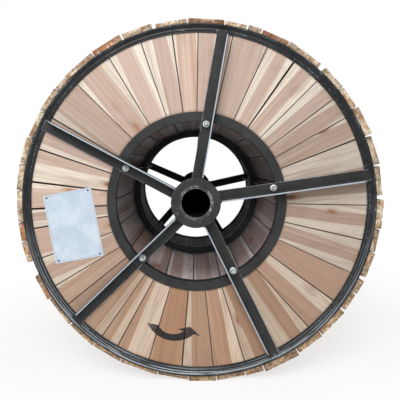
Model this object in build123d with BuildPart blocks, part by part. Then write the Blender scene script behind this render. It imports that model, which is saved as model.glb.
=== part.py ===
"""A steel and wood cable drum, closed with lagging and standing on it.

The drum's axis lies along Y and its front flange faces -Y. The origin is the middle of the
bore. All sizes are in millimetres and all angles in degrees, counted anticlockwise as seen
from the front.
"""

import os
from math import cos, radians, sin, sqrt, tan

from build123d import *

os.makedirs("parts", exist_ok=True)

# Overall sizes
rim_radius = 800
between_flanges = 1000

# Pressed steel rim round each flange: from its edge inwards a flared edge, a ridge and a lip
rim_sheet = 3
rim_edge_width = 6
rim_flare_width = 12
rim_flare_height = 10
rim_ridge_gap = 2
rim_ridge_width = 12
rim_lip_width = 7

# Rolled angle rings, one in each flange and one inside the barrel near its middle
ring_inner_radius = 367
ring_leg = 40
ring_thickness = 5
middle_ring_face = 50

# Five spokes of angle bar on the outside of each flange, one leg standing outwards. Each is
# set at a small angle to the radius through its tie rod, so it passes beside the axis.
spoke_count = 5
first_rod_angle = 8.3
spoke_skew = 2.2
spoke_leg = 50
spoke_thickness = 5
spoke_root_radius = 5
spoke_end_gap = 1

# Centre tube and the round plate welded round each of its ends
tube_radius = 73
tube_wall = 9
tube_overhang = 4
hub_plate_radius = 110
hub_plate_thickness = 8
weld_gap = 0.5

# Tie rods just inside the barrel, through the spokes and through the middle ring
rod_radius = 8
rod_inset = 14
rod_hole_clearance = 0.75
thread_clearance = 0.1
washer_radius = 15
washer_thickness = 3
nut_across_flats = 24
nut_height = 14
rod_overhang = 6

# Flange boards: width at the rim and the open joint after each board, one list per sector
board_thickness = 45
board_end_gap = 1
sector_boards = (
    ((156, 4), (110, 1.5), (104, 2), (114, 1.5), (138, 7), (140, 2), (171, 2), (68, 2)),
    ((96, 1.5), (122, 3), (152, 2), (168, 2), (200, 1.5), (203, 4), (60, 2)),
    ((100, 5), (161, 7), (129, 7), (93, 4), (150, 2), (153, 2), (111, 2), (103, 2)),
    ((124, 1.5), (89, 2), (164, 2), (163, 4), (150, 1.5), (153, 2), (158, 2)),
    ((189, 2), (172, 3), (154, 1.5), (164, 3), (163, 2), (158, 2)),
)

# Barrel staves: width of each and the open joint after it
stave_thickness = 22
stave_first_angle = -93.5
staves = (
    (122, 1.5), (92, 1.5), (93, 1.5), (133, 1.5), (118, 1.5), (104, 1.5), (128, 1.5),
    (113, 1.5), (121, 1.5), (117, 1.5), (109, 5), (126, 1.5), (112, 1.5), (98, 3),
    (124, 1.5), (117, 1.5), (116, 1.5), (101, 1.5), (102, 1.5), (129, 1.5),
)
staves_per_group = 5

# Lagging battens nailed round the rims: width of each, the gap after it and its thickness
battens = (
    (124, 2, 22), (128, 2, 20), (82, 3, 27), (166, 2, 31), (126, 2, 26), (138, 7, 26),
    (82, 3, 26), (66, 14, 29), (114, 2, 26), (101, 2, 23), (128, 17, 28), (128, 7, 24),
    (126, 7, 26), (128, 2, 30), (100, 2, 24), (112, 21, 24), (165, 2, 24), (124, 4, 21),
    (60, 7, 22), (94, 4, 18), (161, 4, 20), (141, 14, 18), (138, 7, 24), (145, 2, 27),
    (158, 2, 22), (61, 2, 22), (117, 2, 24), (126, 3, 21), (121, 2, 29), (119, 2, 28),
    (83, 2, 24), (57, 2, 25), (85, 2, 26), (97, 67, 28), (121, 2, 22), (145, 5, 17),
    (137, 2, 20), (138, 2, 18), (175, 2, 15), (138, 2, 15),
)
battens_per_group = 8

# Laminated sheet tacked to the front flange, a little outside the middle of the bare boards
sheet_width = 229
sheet_height = 320
sheet_thickness = 0.6
sheet_corner_radius = 4
sheet_angle = 98.5
sheet_offset = 1.505
sheet_centre_angle = 189.2

# Flat and round pieces that seat on each other stay this far apart
seat_gap = 0.3

# Levels across one flange, outwards from the boards' inner face
ring_face = board_thickness + ring_thickness
lip_face = board_thickness + rim_sheet
rim_crest = lip_face + rim_flare_height
web_face = ring_face + spoke_thickness
leg_tip = ring_face + spoke_leg
hub_face = leg_tip + hub_plate_thickness
tube_end = hub_face + tube_overhang
washer_face = web_face + washer_thickness
nut_face = washer_face + nut_height
rod_end = nut_face + rod_overhang

# Places that follow from the sizes above
rim_flare_crest = rim_radius - rim_edge_width
rim_flare_foot = rim_flare_crest - rim_flare_width
rim_ridge_outside = rim_flare_foot - rim_ridge_gap
rim_ridge_radius = rim_ridge_outside - rim_ridge_width / 2
rim_ridge_inside = rim_ridge_outside - rim_ridge_width
rim_lip_radius = rim_ridge_inside - rim_lip_width
down = -90
half_space = between_flanges / 2
rod_circle_radius = ring_inner_radius - rod_inset
turn_between_spokes = 360 / spoke_count
ring_outer_radius = ring_inner_radius + ring_leg
stave_seat = ring_inner_radius + ring_thickness + seat_gap
stave_back = stave_seat + stave_thickness
spoke_start = tube_radius + weld_gap
spoke_offset = rod_circle_radius * sin(radians(spoke_skew))
spoke_web_edge = (spoke_leg - spoke_thickness) / 2
spoke_reach = rim_flare_foot - spoke_end_gap
spoke_end = sqrt(spoke_reach**2 - (spoke_offset + spoke_web_edge) ** 2)
sheet_reach = sqrt(rim_lip_radius**2 - (sheet_height / 2) ** 2)
sheet_centre_radius = (ring_outer_radius + sheet_reach) / 2 + sheet_offset

# The rear flange is the front one turned round its first tie rod, so the rods stay in line
turned = 2 * radians(first_rod_angle)
front = Plane(origin=(0, -half_space, 0), x_dir=(1, 0, 0), z_dir=(0, -1, 0))
rear = Plane(origin=(0, half_space, 0), x_dir=(cos(turned), 0, sin(turned)), z_dir=(0, 1, 0))
flanges = {"front": front, "rear": rear}


def save(name, piece):
    """Label a finished piece and write its file."""
    piece.label = name
    export_step(piece, f"parts/{name}.step")


def facing(flange, angle):
    """The flange's plane turned in itself, so that its x runs out along the given angle."""
    turn = radians(angle)
    return Plane(
        origin=flange.origin,
        x_dir=flange.x_dir * cos(turn) + flange.y_dir * sin(turn),
        z_dir=flange.z_dir,
    )


def radial_section(flange):
    """The plane that cuts a flange along a radius: x is the radius and y points outwards."""
    return Plane(
        origin=flange.origin,
        x_dir=flange.x_dir,
        z_dir=flange.x_dir.cross(flange.z_dir),
    )


def turns(pieces, whole_turn):
    """Start and end angle of each piece, the turn being shared out by widths and joints."""
    degrees_per_mm = whole_turn / sum(width + gap for width, gap in pieces)
    angle = 0
    spans = []
    for width, gap in pieces:
        end = angle + width * degrees_per_mm
        spans.append((angle, end))
        angle = end + gap * degrees_per_mm
    return spans


def rim(flange):
    """Pressed channel that holds the outer ends of the boards."""
    with BuildPart() as pressed_rim:
        with BuildSketch(radial_section(flange)):
            with BuildLine():
                Polyline(
                    (rim_lip_radius, lip_face),
                    (rim_ridge_inside, lip_face),
                    (rim_ridge_radius, ring_face),
                    (rim_ridge_outside, lip_face),
                    (rim_flare_foot, lip_face),
                    (rim_flare_crest, rim_crest),
                    (rim_radius, rim_crest),
                    (rim_radius, -rim_sheet),
                    (rim_lip_radius, -rim_sheet),
                )
                offset(amount=rim_sheet, side=Side.RIGHT, kind=Kind.INTERSECTION)
            make_face()
        revolve(axis=Axis(flange.origin, flange.z_dir))
    return pressed_rim.part


def rolled_angle(section_plane, axis, radial_leg, axial_leg):
    """Ring of angle bar: one leg flat across the axis and one leg along it."""
    with BuildPart() as ring:
        with BuildSketch(section_plane):
            with BuildLine():
                Polyline(*radial_leg, *axial_leg, close=True)
            make_face()
        revolve(axis=axis)
    return ring.part


def inner_ring(flange):
    """Ring that covers the inner ends of the boards and carries the ends of the staves."""
    return rolled_angle(
        radial_section(flange),
        Axis(flange.origin, flange.z_dir),
        (
            (ring_inner_radius, ring_face),
            (ring_outer_radius, ring_face),
            (ring_outer_radius, board_thickness),
        ),
        (
            (ring_inner_radius + ring_thickness, board_thickness),
            (ring_inner_radius + ring_thickness, ring_face - ring_leg),
            (ring_inner_radius, ring_face - ring_leg),
        ),
    )


def spoke(flange, number):
    """Angle bar from the tube to the rim, its standing leg mitred where it meets the rim."""
    rod_angle = first_rod_angle + number * turn_between_spokes
    bar = facing(flange, rod_angle - spoke_skew)
    bar = Plane(
        origin=bar.origin + bar.y_dir * spoke_offset,
        x_dir=bar.x_dir,
        z_dir=bar.z_dir,
    )
    across = Plane(
        origin=bar.origin + bar.x_dir * spoke_start,
        x_dir=bar.y_dir,
        z_dir=bar.x_dir,
    )
    leg_outside = spoke_web_edge - spoke_leg
    root = (leg_outside + spoke_thickness, web_face)
    with BuildPart() as angle_bar:
        with BuildSketch(across) as section:
            with BuildLine():
                Polyline(
                    (leg_outside, ring_face),
                    (spoke_web_edge, ring_face),
                    (spoke_web_edge, web_face),
                    root,
                    (leg_outside + spoke_thickness, leg_tip),
                    (leg_outside, leg_tip),
                    close=True,
                )
            make_face()
            fillet(section.vertices().sort_by_distance(root)[0], spoke_root_radius)
        extrude(amount=spoke_end - spoke_start)
        mitre = leg_tip - web_face
        along = Plane(origin=bar.origin, x_dir=bar.x_dir, z_dir=-bar.y_dir)
        with BuildSketch(along):
            with BuildLine():
                Polyline(
                    (spoke_end, web_face),
                    (spoke_end, leg_tip),
                    (spoke_end - mitre, leg_tip),
                    close=True,
                )
            make_face()
        extrude(amount=spoke_leg, both=True, mode=Mode.SUBTRACT)
        with BuildSketch(bar.offset(ring_face)):
            with Locations((rod_circle_radius * cos(radians(spoke_skew)), 0)):
                Circle(rod_radius + rod_hole_clearance)
        extrude(amount=spoke_thickness, mode=Mode.SUBTRACT)
    return angle_bar.part


def hub_plate(flange):
    """Round plate on the tips of the spokes, welded round the tube."""
    with BuildPart() as plate:
        with BuildSketch(flange.offset(leg_tip)):
            Circle(hub_plate_radius)
            Circle(tube_radius + weld_gap, mode=Mode.SUBTRACT)
        extrude(amount=hub_plate_thickness)
    return plate.part


def board_group(flange, number):
    """The boards of one sector, each sawn to a taper so that its joints run to the centre."""
    widest = max(end - start for start, end in turns(staves, 360))
    barrel_reach = stave_back / cos(radians(widest / 2))
    inner_distance = barrel_reach + board_end_gap
    outer_radius = rim_radius - rim_sheet - board_end_gap
    pieces = sector_boards[number]
    sector_start = first_rod_angle + number * turn_between_spokes
    spans = turns(pieces, turn_between_spokes)
    with BuildPart() as group:
        for start, end in spans:
            half_turn = radians((end - start) / 2)
            outer_distance = outer_radius * cos(half_turn)
            board = facing(flange, sector_start + (start + end) / 2)
            with BuildSketch(board):
                with BuildLine():
                    Polyline(
                        (inner_distance, -inner_distance * tan(half_turn)),
                        (outer_distance, -outer_distance * tan(half_turn)),
                        (outer_distance, outer_distance * tan(half_turn)),
                        (inner_distance, inner_distance * tan(half_turn)),
                        close=True,
                    )
                make_face()
            extrude(amount=board_thickness)
    return group.part


def planks(spans, seat_distance, thicknesses, outer_level):
    """Flat planks laid round the axis, each resting on a circle at the middle of its width."""
    with BuildPart() as group:
        for (start, end), thickness in zip(spans, thicknesses):
            with BuildSketch(facing(front, (start + end) / 2).offset(outer_level)):
                with Locations((seat_distance, 0)):
                    Rectangle(
                        thickness,
                        2 * seat_distance * tan(radians((end - start) / 2)),
                        align=(Align.MIN, Align.CENTER),
                    )
            extrude(amount=-2 * (half_space + outer_level))
    return group.part


def grouped(items, size):
    """Cut a list into runs of the given size."""
    return [items[start : start + size] for start in range(0, len(items), size)]


# Flanges
for side, flange in flanges.items():
    save(f"{side}_rim", rim(flange))
    save(f"{side}_inner_ring", inner_ring(flange))
    save(f"{side}_hub_plate", hub_plate(flange))
    for number in range(spoke_count):
        save(f"{side}_spoke_{number + 1}", spoke(flange, number))
        save(f"{side}_boards_{number + 1}", board_group(flange, number))

# Centre tube
with BuildPart() as centre_tube:
    with BuildSketch(front.offset(tube_end)):
        Circle(tube_radius)
        Circle(tube_radius - tube_wall, mode=Mode.SUBTRACT)
    extrude(amount=-2 * (half_space + tube_end))
save("centre_tube", centre_tube.part)

# Middle ring, its standing leg drilled for the tie rods
middle_section = Plane(origin=(0, 0, 0), x_dir=(1, 0, 0), z_dir=(0, 0, 1))
middle_back = ring_inner_radius + ring_thickness
middle_ring_rear = middle_ring_face + ring_thickness
with BuildPart() as middle_ring:
    with BuildSketch(middle_section):
        with BuildLine():
            Polyline(
                (middle_back - ring_leg, middle_ring_face),
                (ring_inner_radius, middle_ring_face),
                (ring_inner_radius, middle_ring_rear - ring_leg),
                (middle_back, middle_ring_rear - ring_leg),
                (middle_back, middle_ring_rear),
                (middle_back - ring_leg, middle_ring_rear),
                close=True,
            )
        make_face()
    revolve(axis=Axis.Y)
    with BuildSketch(Plane(origin=(0, middle_ring_face, 0), x_dir=(1, 0, 0), z_dir=(0, -1, 0))):
        with PolarLocations(rod_circle_radius, spoke_count, start_angle=first_rod_angle):
            Circle(rod_radius + rod_hole_clearance)
    extrude(amount=-ring_thickness, mode=Mode.SUBTRACT)
save("middle_ring", middle_ring.part)

# Tie rods
for number in range(spoke_count):
    rod_plane = facing(front, first_rod_angle + number * turn_between_spokes)
    with BuildPart() as tie_rod:
        with BuildSketch(rod_plane.offset(rod_end)):
            with Locations((rod_circle_radius, 0)):
                Circle(rod_radius)
        extrude(amount=-2 * (half_space + rod_end))
    save(f"tie_rod_{number + 1}", tie_rod.part)

# Washers and nuts on the ends of the tie rods
for side, flange in flanges.items():
    with BuildPart() as washers:
        with BuildSketch(flange.offset(web_face)):
            with PolarLocations(rod_circle_radius, spoke_count, start_angle=first_rod_angle):
                Circle(washer_radius)
                Circle(rod_radius + thread_clearance, mode=Mode.SUBTRACT)
        extrude(amount=washer_thickness)
    save(f"{side}_washers", washers.part)
    with BuildPart() as nuts:
        with BuildSketch(flange.offset(washer_face)):
            with PolarLocations(rod_circle_radius, spoke_count, start_angle=first_rod_angle):
                RegularPolygon(nut_across_flats / 2, 6, major_radius=False)
                Circle(rod_radius + thread_clearance, mode=Mode.SUBTRACT)
        extrude(amount=nut_height)
    save(f"{side}_nuts", nuts.part)

# Barrel staves, from the outer face of one flange's boards to that of the other's
stave_spans = [
    (start + stave_first_angle, end + stave_first_angle) for start, end in turns(staves, 360)
]
for number, spans in enumerate(grouped(stave_spans, staves_per_group), start=1):
    group = planks(spans, stave_seat, [stave_thickness] * len(spans), board_thickness)
    save(f"barrel_staves_{number}", group)

# Lagging battens, from crest to crest of the two rims, the first one flat on the floor
batten_spans = turns([(width, gap) for width, gap, _ in battens], 360)
first_batten_turn = batten_spans[0][1]
batten_spans = [
    (start - first_batten_turn / 2 + down, end - first_batten_turn / 2 + down)
    for start, end in batten_spans
]
batten_thicknesses = [thickness for _, _, thickness in battens]
batten_groups = zip(
    grouped(batten_spans, battens_per_group),
    grouped(batten_thicknesses, battens_per_group),
)
for number, (spans, thicknesses) in enumerate(batten_groups, start=1):
    group = planks(spans, rim_radius + seat_gap, thicknesses, rim_crest)
    save(f"lagging_{number}", group)

# Laminated sheet, flat on the boards of the front flange
sheet_plane = facing(front, sheet_centre_angle).offset(board_thickness)
with BuildPart() as sheet:
    with BuildSketch(sheet_plane):
        with Locations(Location((sheet_centre_radius, 0), sheet_angle - sheet_centre_angle)):
            RectangleRounded(sheet_height, sheet_width, sheet_corner_radius)
    extrude(amount=sheet_thickness)
save("packing_sheet", sheet.part)
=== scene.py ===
# %% [markdown]
# # A steel-framed wooden cable drum
#
# The drum is a spool for heavy cable. Two round flanges of sawn boards sit in pressed steel
# rims, spokes of angle bar cross them on the outside, an open barrel of staves joins them, and
# battens nailed round the rims close the winding space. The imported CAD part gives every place
# and size here, so each piece below starts from a CAD node and gives it the form, grain and
# wear that solids leave out.

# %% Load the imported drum
import math
import random

import bmesh
import bpy
from mathutils import Matrix, Vector, noise


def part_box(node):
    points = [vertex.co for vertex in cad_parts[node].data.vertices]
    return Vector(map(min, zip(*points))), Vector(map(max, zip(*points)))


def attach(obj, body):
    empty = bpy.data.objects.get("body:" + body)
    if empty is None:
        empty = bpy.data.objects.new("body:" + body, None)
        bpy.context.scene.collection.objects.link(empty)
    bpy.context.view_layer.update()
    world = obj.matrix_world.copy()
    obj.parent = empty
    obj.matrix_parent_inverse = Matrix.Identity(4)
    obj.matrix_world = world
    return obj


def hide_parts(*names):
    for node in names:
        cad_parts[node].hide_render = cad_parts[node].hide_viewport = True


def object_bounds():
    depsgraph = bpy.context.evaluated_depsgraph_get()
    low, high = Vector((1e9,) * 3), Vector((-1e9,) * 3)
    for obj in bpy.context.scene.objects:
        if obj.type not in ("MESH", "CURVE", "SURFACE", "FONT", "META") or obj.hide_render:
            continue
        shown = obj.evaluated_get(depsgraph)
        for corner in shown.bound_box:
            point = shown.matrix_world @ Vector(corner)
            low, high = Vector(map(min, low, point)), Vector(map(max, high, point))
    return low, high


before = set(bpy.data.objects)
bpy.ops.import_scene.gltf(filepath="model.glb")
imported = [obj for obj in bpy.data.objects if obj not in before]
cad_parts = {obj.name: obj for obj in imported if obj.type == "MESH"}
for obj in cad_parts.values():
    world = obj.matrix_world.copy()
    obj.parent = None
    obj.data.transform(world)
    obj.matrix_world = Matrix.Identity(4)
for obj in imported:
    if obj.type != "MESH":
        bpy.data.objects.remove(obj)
cad_low, cad_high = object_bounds()
floor_level = cad_low.z
print("The drum measures", [round(v, 3) for v in cad_high - cad_low], "metres")

# %% [markdown]
# ## The camera
#
# The photograph was taken from in front of the drum, a little above its middle. The lens sits
# nearly level, and the frame is a crop whose middle isn't the lens's own, which a small shift
# repeats. The drum in the photograph had rolled by about two degrees; the CAD drum lies
# flat on one batten, so the camera turns about the drum's axis by the same two degrees.

# %% Place the camera
image_size = 400
focal_pixels = 391.1
lens_centre_pixels = (176.28, 173.83)
camera_place = Vector((-0.0067, -2.3208, 0.1790))
camera_yaw = math.radians(2.651)
camera_pitch = math.radians(-1.685)
drum_roll = math.radians(2.2)

camera_data = bpy.data.cameras.new("camera")
camera_data.sensor_width = 36
camera_data.lens = focal_pixels / image_size * camera_data.sensor_width
camera_data.shift_x = 0.5 - lens_centre_pixels[0] / image_size
camera_data.shift_y = lens_centre_pixels[1] / image_size - 0.5
camera = bpy.data.objects.new("camera", camera_data)
bpy.context.scene.collection.objects.link(camera)
aim = Matrix.Rotation(camera_yaw, 4, "Z") @ Matrix.Rotation(math.pi / 2 + camera_pitch, 4, "X")
camera.matrix_world = (
    Matrix.Rotation(drum_roll, 4, "Y") @ Matrix.Translation(camera_place) @ aim
)
bpy.context.scene.camera = camera
print("The lens is", round(camera_data.lens, 1), "mm on a 36 mm sensor")

# %% [markdown]
# ## Building a finish from nodes
#
# Every finish here is procedural. A small class keeps the node code readable: it adds nodes to
# one tree and joins their sockets, and each helper on it stands for one idea, such as a noise,
# a soft step between two values, or a blend of two colours. A finish is such a tree with a
# material and its shader; the sky uses the same helpers.

# %% A helper for procedural finishes
def linear(red, green, blue):
    """A colour seen on screen, in 0 to 255, as the linear colour that a shader takes."""
    return tuple(((channel / 255) ** 2.2) for channel in (red, green, blue)) + (1.0,)


class Nodes:
    """A shader tree and short ways to add to it."""

    def __init__(self, tree):
        self.tree = tree

    def give(self, socket, value):
        """Join a socket to another one, or set its own value."""
        if isinstance(value, bpy.types.NodeSocket):
            self.tree.links.new(value, socket)
        else:
            socket.default_value = value

    def add(self, kind, inputs=(), **settings):
        """Add a node, set it up, and feed its inputs by number or name."""
        made = self.tree.nodes.new(kind)
        for key, value in settings.items():
            setattr(made, key, value)
        for key, value in dict(inputs).items():
            self.give(made.inputs[key], value)
        return made

    def math(self, operation, first, second=0.0, third=0.0):
        """One sum on up to three values."""
        inputs = {0: first, 1: second, 2: third}
        return self.add("ShaderNodeMath", inputs, operation=operation).outputs[0]

    def noise(self, place, scale, detail=2.0, roughness=0.5):
        """A cloudy value from about 0 to 1, with so many waves to the metre."""
        inputs = {"Vector": place, "Scale": scale, "Detail": detail, "Roughness": roughness}
        return self.add("ShaderNodeTexNoise", inputs).outputs[0]

    def step(self, value, low, high, bottom=0.0, top=1.0):
        """A soft step that rises from bottom to top while the value goes from low to high."""
        inputs = {0: value, 1: low, 2: high, 3: bottom, 4: top}
        made = self.add("ShaderNodeMapRange", inputs, interpolation_type="SMOOTHSTEP")
        return made.outputs[0]

    def blend(self, share, first, second, kind="MIX"):
        """Two colours, the second one shown by its share."""
        made = self.add("ShaderNodeMix", data_type="RGBA", blend_type=kind)
        self.give(made.inputs[0], share)
        self.give(made.inputs[6], first)
        self.give(made.inputs[7], second)
        return made.outputs[2]

    def vector(self, x, y, z):
        return self.add("ShaderNodeCombineXYZ", {0: x, 1: y, 2: z}).outputs[0]

    def split(self, vector):
        return self.add("ShaderNodeSeparateXYZ", {0: vector}).outputs

    def attribute(self, name):
        return self.add("ShaderNodeAttribute", attribute_name=name).outputs["Fac"]

    def place(self):
        return self.add("ShaderNodeTexCoord").outputs["Object"]

    def length(self, vector):
        made = self.add("ShaderNodeVectorMath", {0: vector}, operation="LENGTH")
        return made.outputs["Value"]


class Finish(Nodes):
    """One material and the nodes that make its colour, roughness and relief."""

    def __init__(self, name):
        self.material = bpy.data.materials.new(name)
        self.material.use_nodes = True
        super().__init__(self.material.node_tree)
        self.shader = self.tree.nodes["Principled BSDF"]

    def relief(self, height, distance, strength=1.0):
        """Let a value stand for height, so that light catches it as fine relief."""
        inputs = {"Height": height, "Distance": distance, "Strength": strength}
        self.give(self.shader.inputs["Normal"], self.add("ShaderNodeBump", inputs).outputs[0])

    def finish(self, colour, roughness, metallic=0.0):
        """Feed the shader and hand the material over."""
        self.give(self.shader.inputs["Base Color"], colour)
        self.give(self.shader.inputs["Roughness"], roughness)
        self.give(self.shader.inputs["Metallic"], metallic)
        return self.material


print("Finishes are ready to be written")

# %% [markdown]
# ## Sawn softwood
#
# Each board is cut from another place in a log. Along its face the log shows as a band of pink
# brown heartwood with cream sapwood beside it, crossed by thin dark lines where the growth
# rings come to the surface. The grain follows the board, so the pattern can't use the
# object's own axes: each plank carries a UV map in metres, along and across its grain, and
# attributes that say where its heartwood lies and how warm or dark it is. A Voronoi pattern
# scatters the knots, one in each cell whose chance is high, and the grain swerves round them.
# Another attribute is 1 on the plank's long edges, where dirt gathers in the joints.

# %% The face of a sawn plank
knot_cells = (4.6, 12.0)
knot_chance = 0.46
knot_sizes = (0.05, 0.17)
knot_brown = linear(164, 106, 80)
knot_core_brown = linear(88, 60, 46)
warm_tan = linear(221, 180, 127)
joint_dark = linear(40, 32, 28)


def wood_grain(wood):
    """The grain map of a plank as sockets: along it, across it, and the log it came from."""
    along, across, _ = wood.split(wood.add("ShaderNodeUVMap", uv_map="grain").outputs[0])
    log = wood.math("MULTIPLY", wood.attribute("plank"), 91.7)
    return along, across, log


def grain_noise(wood, grain, stretch, detail=2.0, roughness=0.5):
    """A noise drawn out along the grain: waves to the metre along it and across it."""
    along, across, log = grain
    place = wood.vector(
        wood.math("MULTIPLY", along, stretch[0]), wood.math("MULTIPLY", across, stretch[1]), log
    )
    return wood.noise(place, 1.0, detail, roughness)


def knots(wood, grain):
    """Shares from 0 to 1 for each spot: in a knot, in its dark heart, and in the swirl round it."""
    along, across, log = grain
    place = wood.vector(
        wood.math("MULTIPLY", along, knot_cells[0]),
        wood.math("MULTIPLY", across, knot_cells[1]),
        log,
    )
    cell = wood.add("ShaderNodeTexVoronoi", {"Vector": place, "Scale": 1.0})
    chance = wood.split(cell.outputs["Color"])[0]
    size = wood.step(chance, knot_chance, 1.0, *knot_sizes)
    from_rim = wood.math("SUBTRACT", cell.outputs["Distance"], size)
    here = wood.step(chance, knot_chance, knot_chance + 0.01)
    knot = wood.math("MULTIPLY", wood.step(from_rim, -0.02, 0.01, 1.0, 0.0), here)
    core = wood.math("MULTIPLY", wood.step(from_rim, -0.08, -0.03, 1.0, 0.0), here)
    swirl = wood.math("MULTIPLY", wood.step(from_rim, 0.0, 0.16, 1.0, 0.0), here)
    return knot, core, swirl


def sawn_face(name, cream, heart, ring_line, grime, wear, outside_work=None):
    """Heartwood and sapwood stripes, ring lines, knots and dirt, all drawn out along the grain."""
    wood = Finish(name)
    along, across, log = wood_grain(wood)
    knot, core, swirl = knots(wood, (along, across, log))
    wander = grain_noise(wood, (along, across, log), (0.9, 2.0))
    drift = wood.math("MULTIPLY_ADD", wood.math("SUBTRACT", wander, 0.5), 0.03, across)
    drift = wood.math("MULTIPLY_ADD", swirl, 0.006, drift)
    grain = (along, drift, log)

    from_heart = wood.math("ABSOLUTE", wood.math("SUBTRACT", drift, wood.attribute("heart_at")))
    waver = grain_noise(wood, grain, (1.6, 9.0), 3.0)
    outside = wood.math("SUBTRACT", from_heart, wood.attribute("heart_half"))
    outside = wood.math("MULTIPLY_ADD", wood.math("SUBTRACT", waver, 0.5), 0.016, outside)
    sapwood = wood.step(outside, -0.0012, 0.0012)
    stripes = grain_noise(wood, grain, (0.30, 15.0), 2.0, 0.5)
    flame = grain_noise(wood, grain, (2.6, 20.0), 3.0, 0.6)
    veins = wood.math("ABSOLUTE", wood.math("SUBTRACT", grain_noise(wood, grain, (0.45, 34.0)), 0.5))
    streaks = grain_noise(wood, grain, (1.0, 100.0), 3.0, 0.6)
    fibres = grain_noise(wood, grain, (9.0, 620.0), 2.0, 0.6)
    swell = grain_noise(wood, grain, (0.30, 5.0), 1.0)
    rings = wood.math("FRACT", wood.math("MULTIPLY", swell, 24.0))
    late = wood.math("MULTIPLY", wood.step(rings, 0.35, 0.86), wood.step(rings, 0.90, 0.99, 1.0, 0.0))

    colour = wood.blend(sapwood, heart, cream)
    colour = wood.blend(wood.step(stripes, 0.54, 0.60, 0.0, 0.24), colour, cream)
    colour = wood.blend(wood.step(stripes, 0.38, 0.44, 0.22, 0.0), colour, heart)
    colour = wood.blend(wood.step(flame, 0.52, 0.74, 0.0, 0.26), colour, ring_line)
    colour = wood.blend(wood.step(veins, 0.0, 0.022, 0.42, 0.0), colour, ring_line)
    colour = wood.blend(wood.math("MULTIPLY", late, 0.17), colour, ring_line)
    colour = wood.blend(wood.step(streaks, 0.30, 0.70, 0.22, 0.0), colour, ring_line)
    colour = wood.blend(wood.step(fibres, 0.25, 0.75, 0.12, 0.0), colour, ring_line)
    tinted = wood.math("MULTIPLY", wood.attribute("warmth"), wood.step(sapwood, 0.0, 1.0, 0.85, 0.52))
    colour = wood.blend(tinted, colour, warm_tan, "MULTIPLY")
    colour = wood.blend(wood.math("MULTIPLY", swirl, 0.45), colour, ring_line)
    colour = wood.blend(wood.math("MULTIPLY", knot, 0.8), colour, knot_brown)
    colour = wood.blend(wood.math("MULTIPLY", core, 0.85), colour, knot_core_brown)
    shade = wood.attribute("shade")
    colour = wood.blend(1.0, colour, wood.vector(shade, shade, shade), "MULTIPLY")

    stain = wood.noise(wood.place(), 5.0, 5.0, 0.62)
    colour = wood.blend(wood.step(stain, 0.54, 0.76, 0.0, wear), colour, grime)
    near_side = wood.attribute("edge")
    colour = wood.blend(wood.step(near_side, 0.2, 1.0, 0.0, 0.6), colour, grime)
    colour = wood.blend(wood.step(near_side, 0.9, 1.0, 0.0, 0.8), colour, joint_dark)
    if outside_work:
        colour = outside_work(wood, colour, fibres)
    wood.relief(wood.math("MULTIPLY_ADD", late, 0.4, fibres), 0.0005)
    return wood.finish(colour, wood.step(streaks, 0.2, 0.8, 0.62, 0.82))


print("Sawn faces can be made, with knots up to", knot_sizes[1], "of a cell wide")

# %% [markdown]
# ## The turning arrow
#
# A curved arrow is stencilled across three boards near the foot of the front flange. It says
# which way the drum may be rolled, and many drums carry one. It is thin paint, so it follows the
# boards and lets their joints through; the finish of the boards draws it between two
# circles, ends it with a straight tail and gives it a pointed head. Its values are metres on
# the flange: a circle is its middle and its radius, a point is how far right and how high.

# %% Stencil a curved arrow on the boards
front_face = -0.5445
arrow_outer = (-0.1173, -0.5030, 0.1363)
arrow_inner = (-0.1238, -0.5312, 0.0771)
arrow_tail = ((-0.1936, -0.5635), (-0.2393, -0.5535))
arrow_barbs = ((-0.1043, -0.5847), (-0.0021, -0.6197))
arrow_tip = (-0.0476, -0.5747)
arrow_fade = 0.07
arrow_paint = linear(26, 25, 26)
paint_edge = 0.0022
paint_raggedness = 0.006


def stencilled_arrow(wood, colour, fibres):
    """Blend a worn curved arrow over a colour."""
    x, y, z = wood.split(wood.place())
    rough = wood.noise(wood.place(), 90.0, 3.0)
    ragged = wood.math("MULTIPLY_ADD", rough, paint_raggedness, -paint_raggedness / 2)

    def to_circle(circle):
        """How far a spot lies outside a circle."""
        from_centre = wood.add(
            "ShaderNodeVectorMath",
            {0: wood.vector(x, 0.0, z), 1: (circle[0], 0.0, circle[1])},
            operation="DISTANCE",
        ).outputs["Value"]
        return wood.math("SUBTRACT", from_centre, circle[2])

    def left_of(start, end):
        """How far a spot lies to the left of a line that runs from start to end."""
        run = Vector(end) - Vector(start)
        run.normalize()
        level = wood.math("MULTIPLY", x, -run.y)
        level = wood.math("MULTIPLY_ADD", z, run.x, level)
        return wood.math("ADD", level, start[0] * run.y - start[1] * run.x)

    def least(*distances):
        """The smallest of some distances, which is above 0 inside all the lines at once."""
        smallest = distances[0]
        for distance in distances[1:]:
            smallest = wood.math("MINIMUM", smallest, distance)
        return smallest

    left_barb, right_barb = arrow_barbs
    shaft = least(
        wood.math("MULTIPLY", to_circle(arrow_outer), -1.0),
        to_circle(arrow_inner),
        left_of(*arrow_tail),
        wood.math("ADD", left_of(right_barb, left_barb), 0.01),
    )
    head = least(
        left_of(left_barb, right_barb),
        left_of(right_barb, arrow_tip),
        left_of(arrow_tip, left_barb),
    )
    inside = wood.math("ADD", wood.math("MAXIMUM", shaft, head), ragged)
    shown = wood.step(inside, -paint_edge / 2, paint_edge / 2)
    thin = wood.math("MULTIPLY_ADD", wood.noise(wood.place(), 26.0, 4.0, 0.65), 0.9, fibres)
    faded = wood.step(x, arrow_tail[1][0], arrow_tail[1][0] + arrow_fade, 0.45, 0.0)
    cover = wood.step(wood.math("SUBTRACT", thin, faded), 0.40, 0.75, 0.78, 0.99)
    shown = wood.math("MULTIPLY", shown, wood.step(y, front_face, front_face + 0.001, 1.0, 0.0))
    return wood.blend(wood.math("MULTIPLY", shown, cover), colour, arrow_paint)


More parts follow.
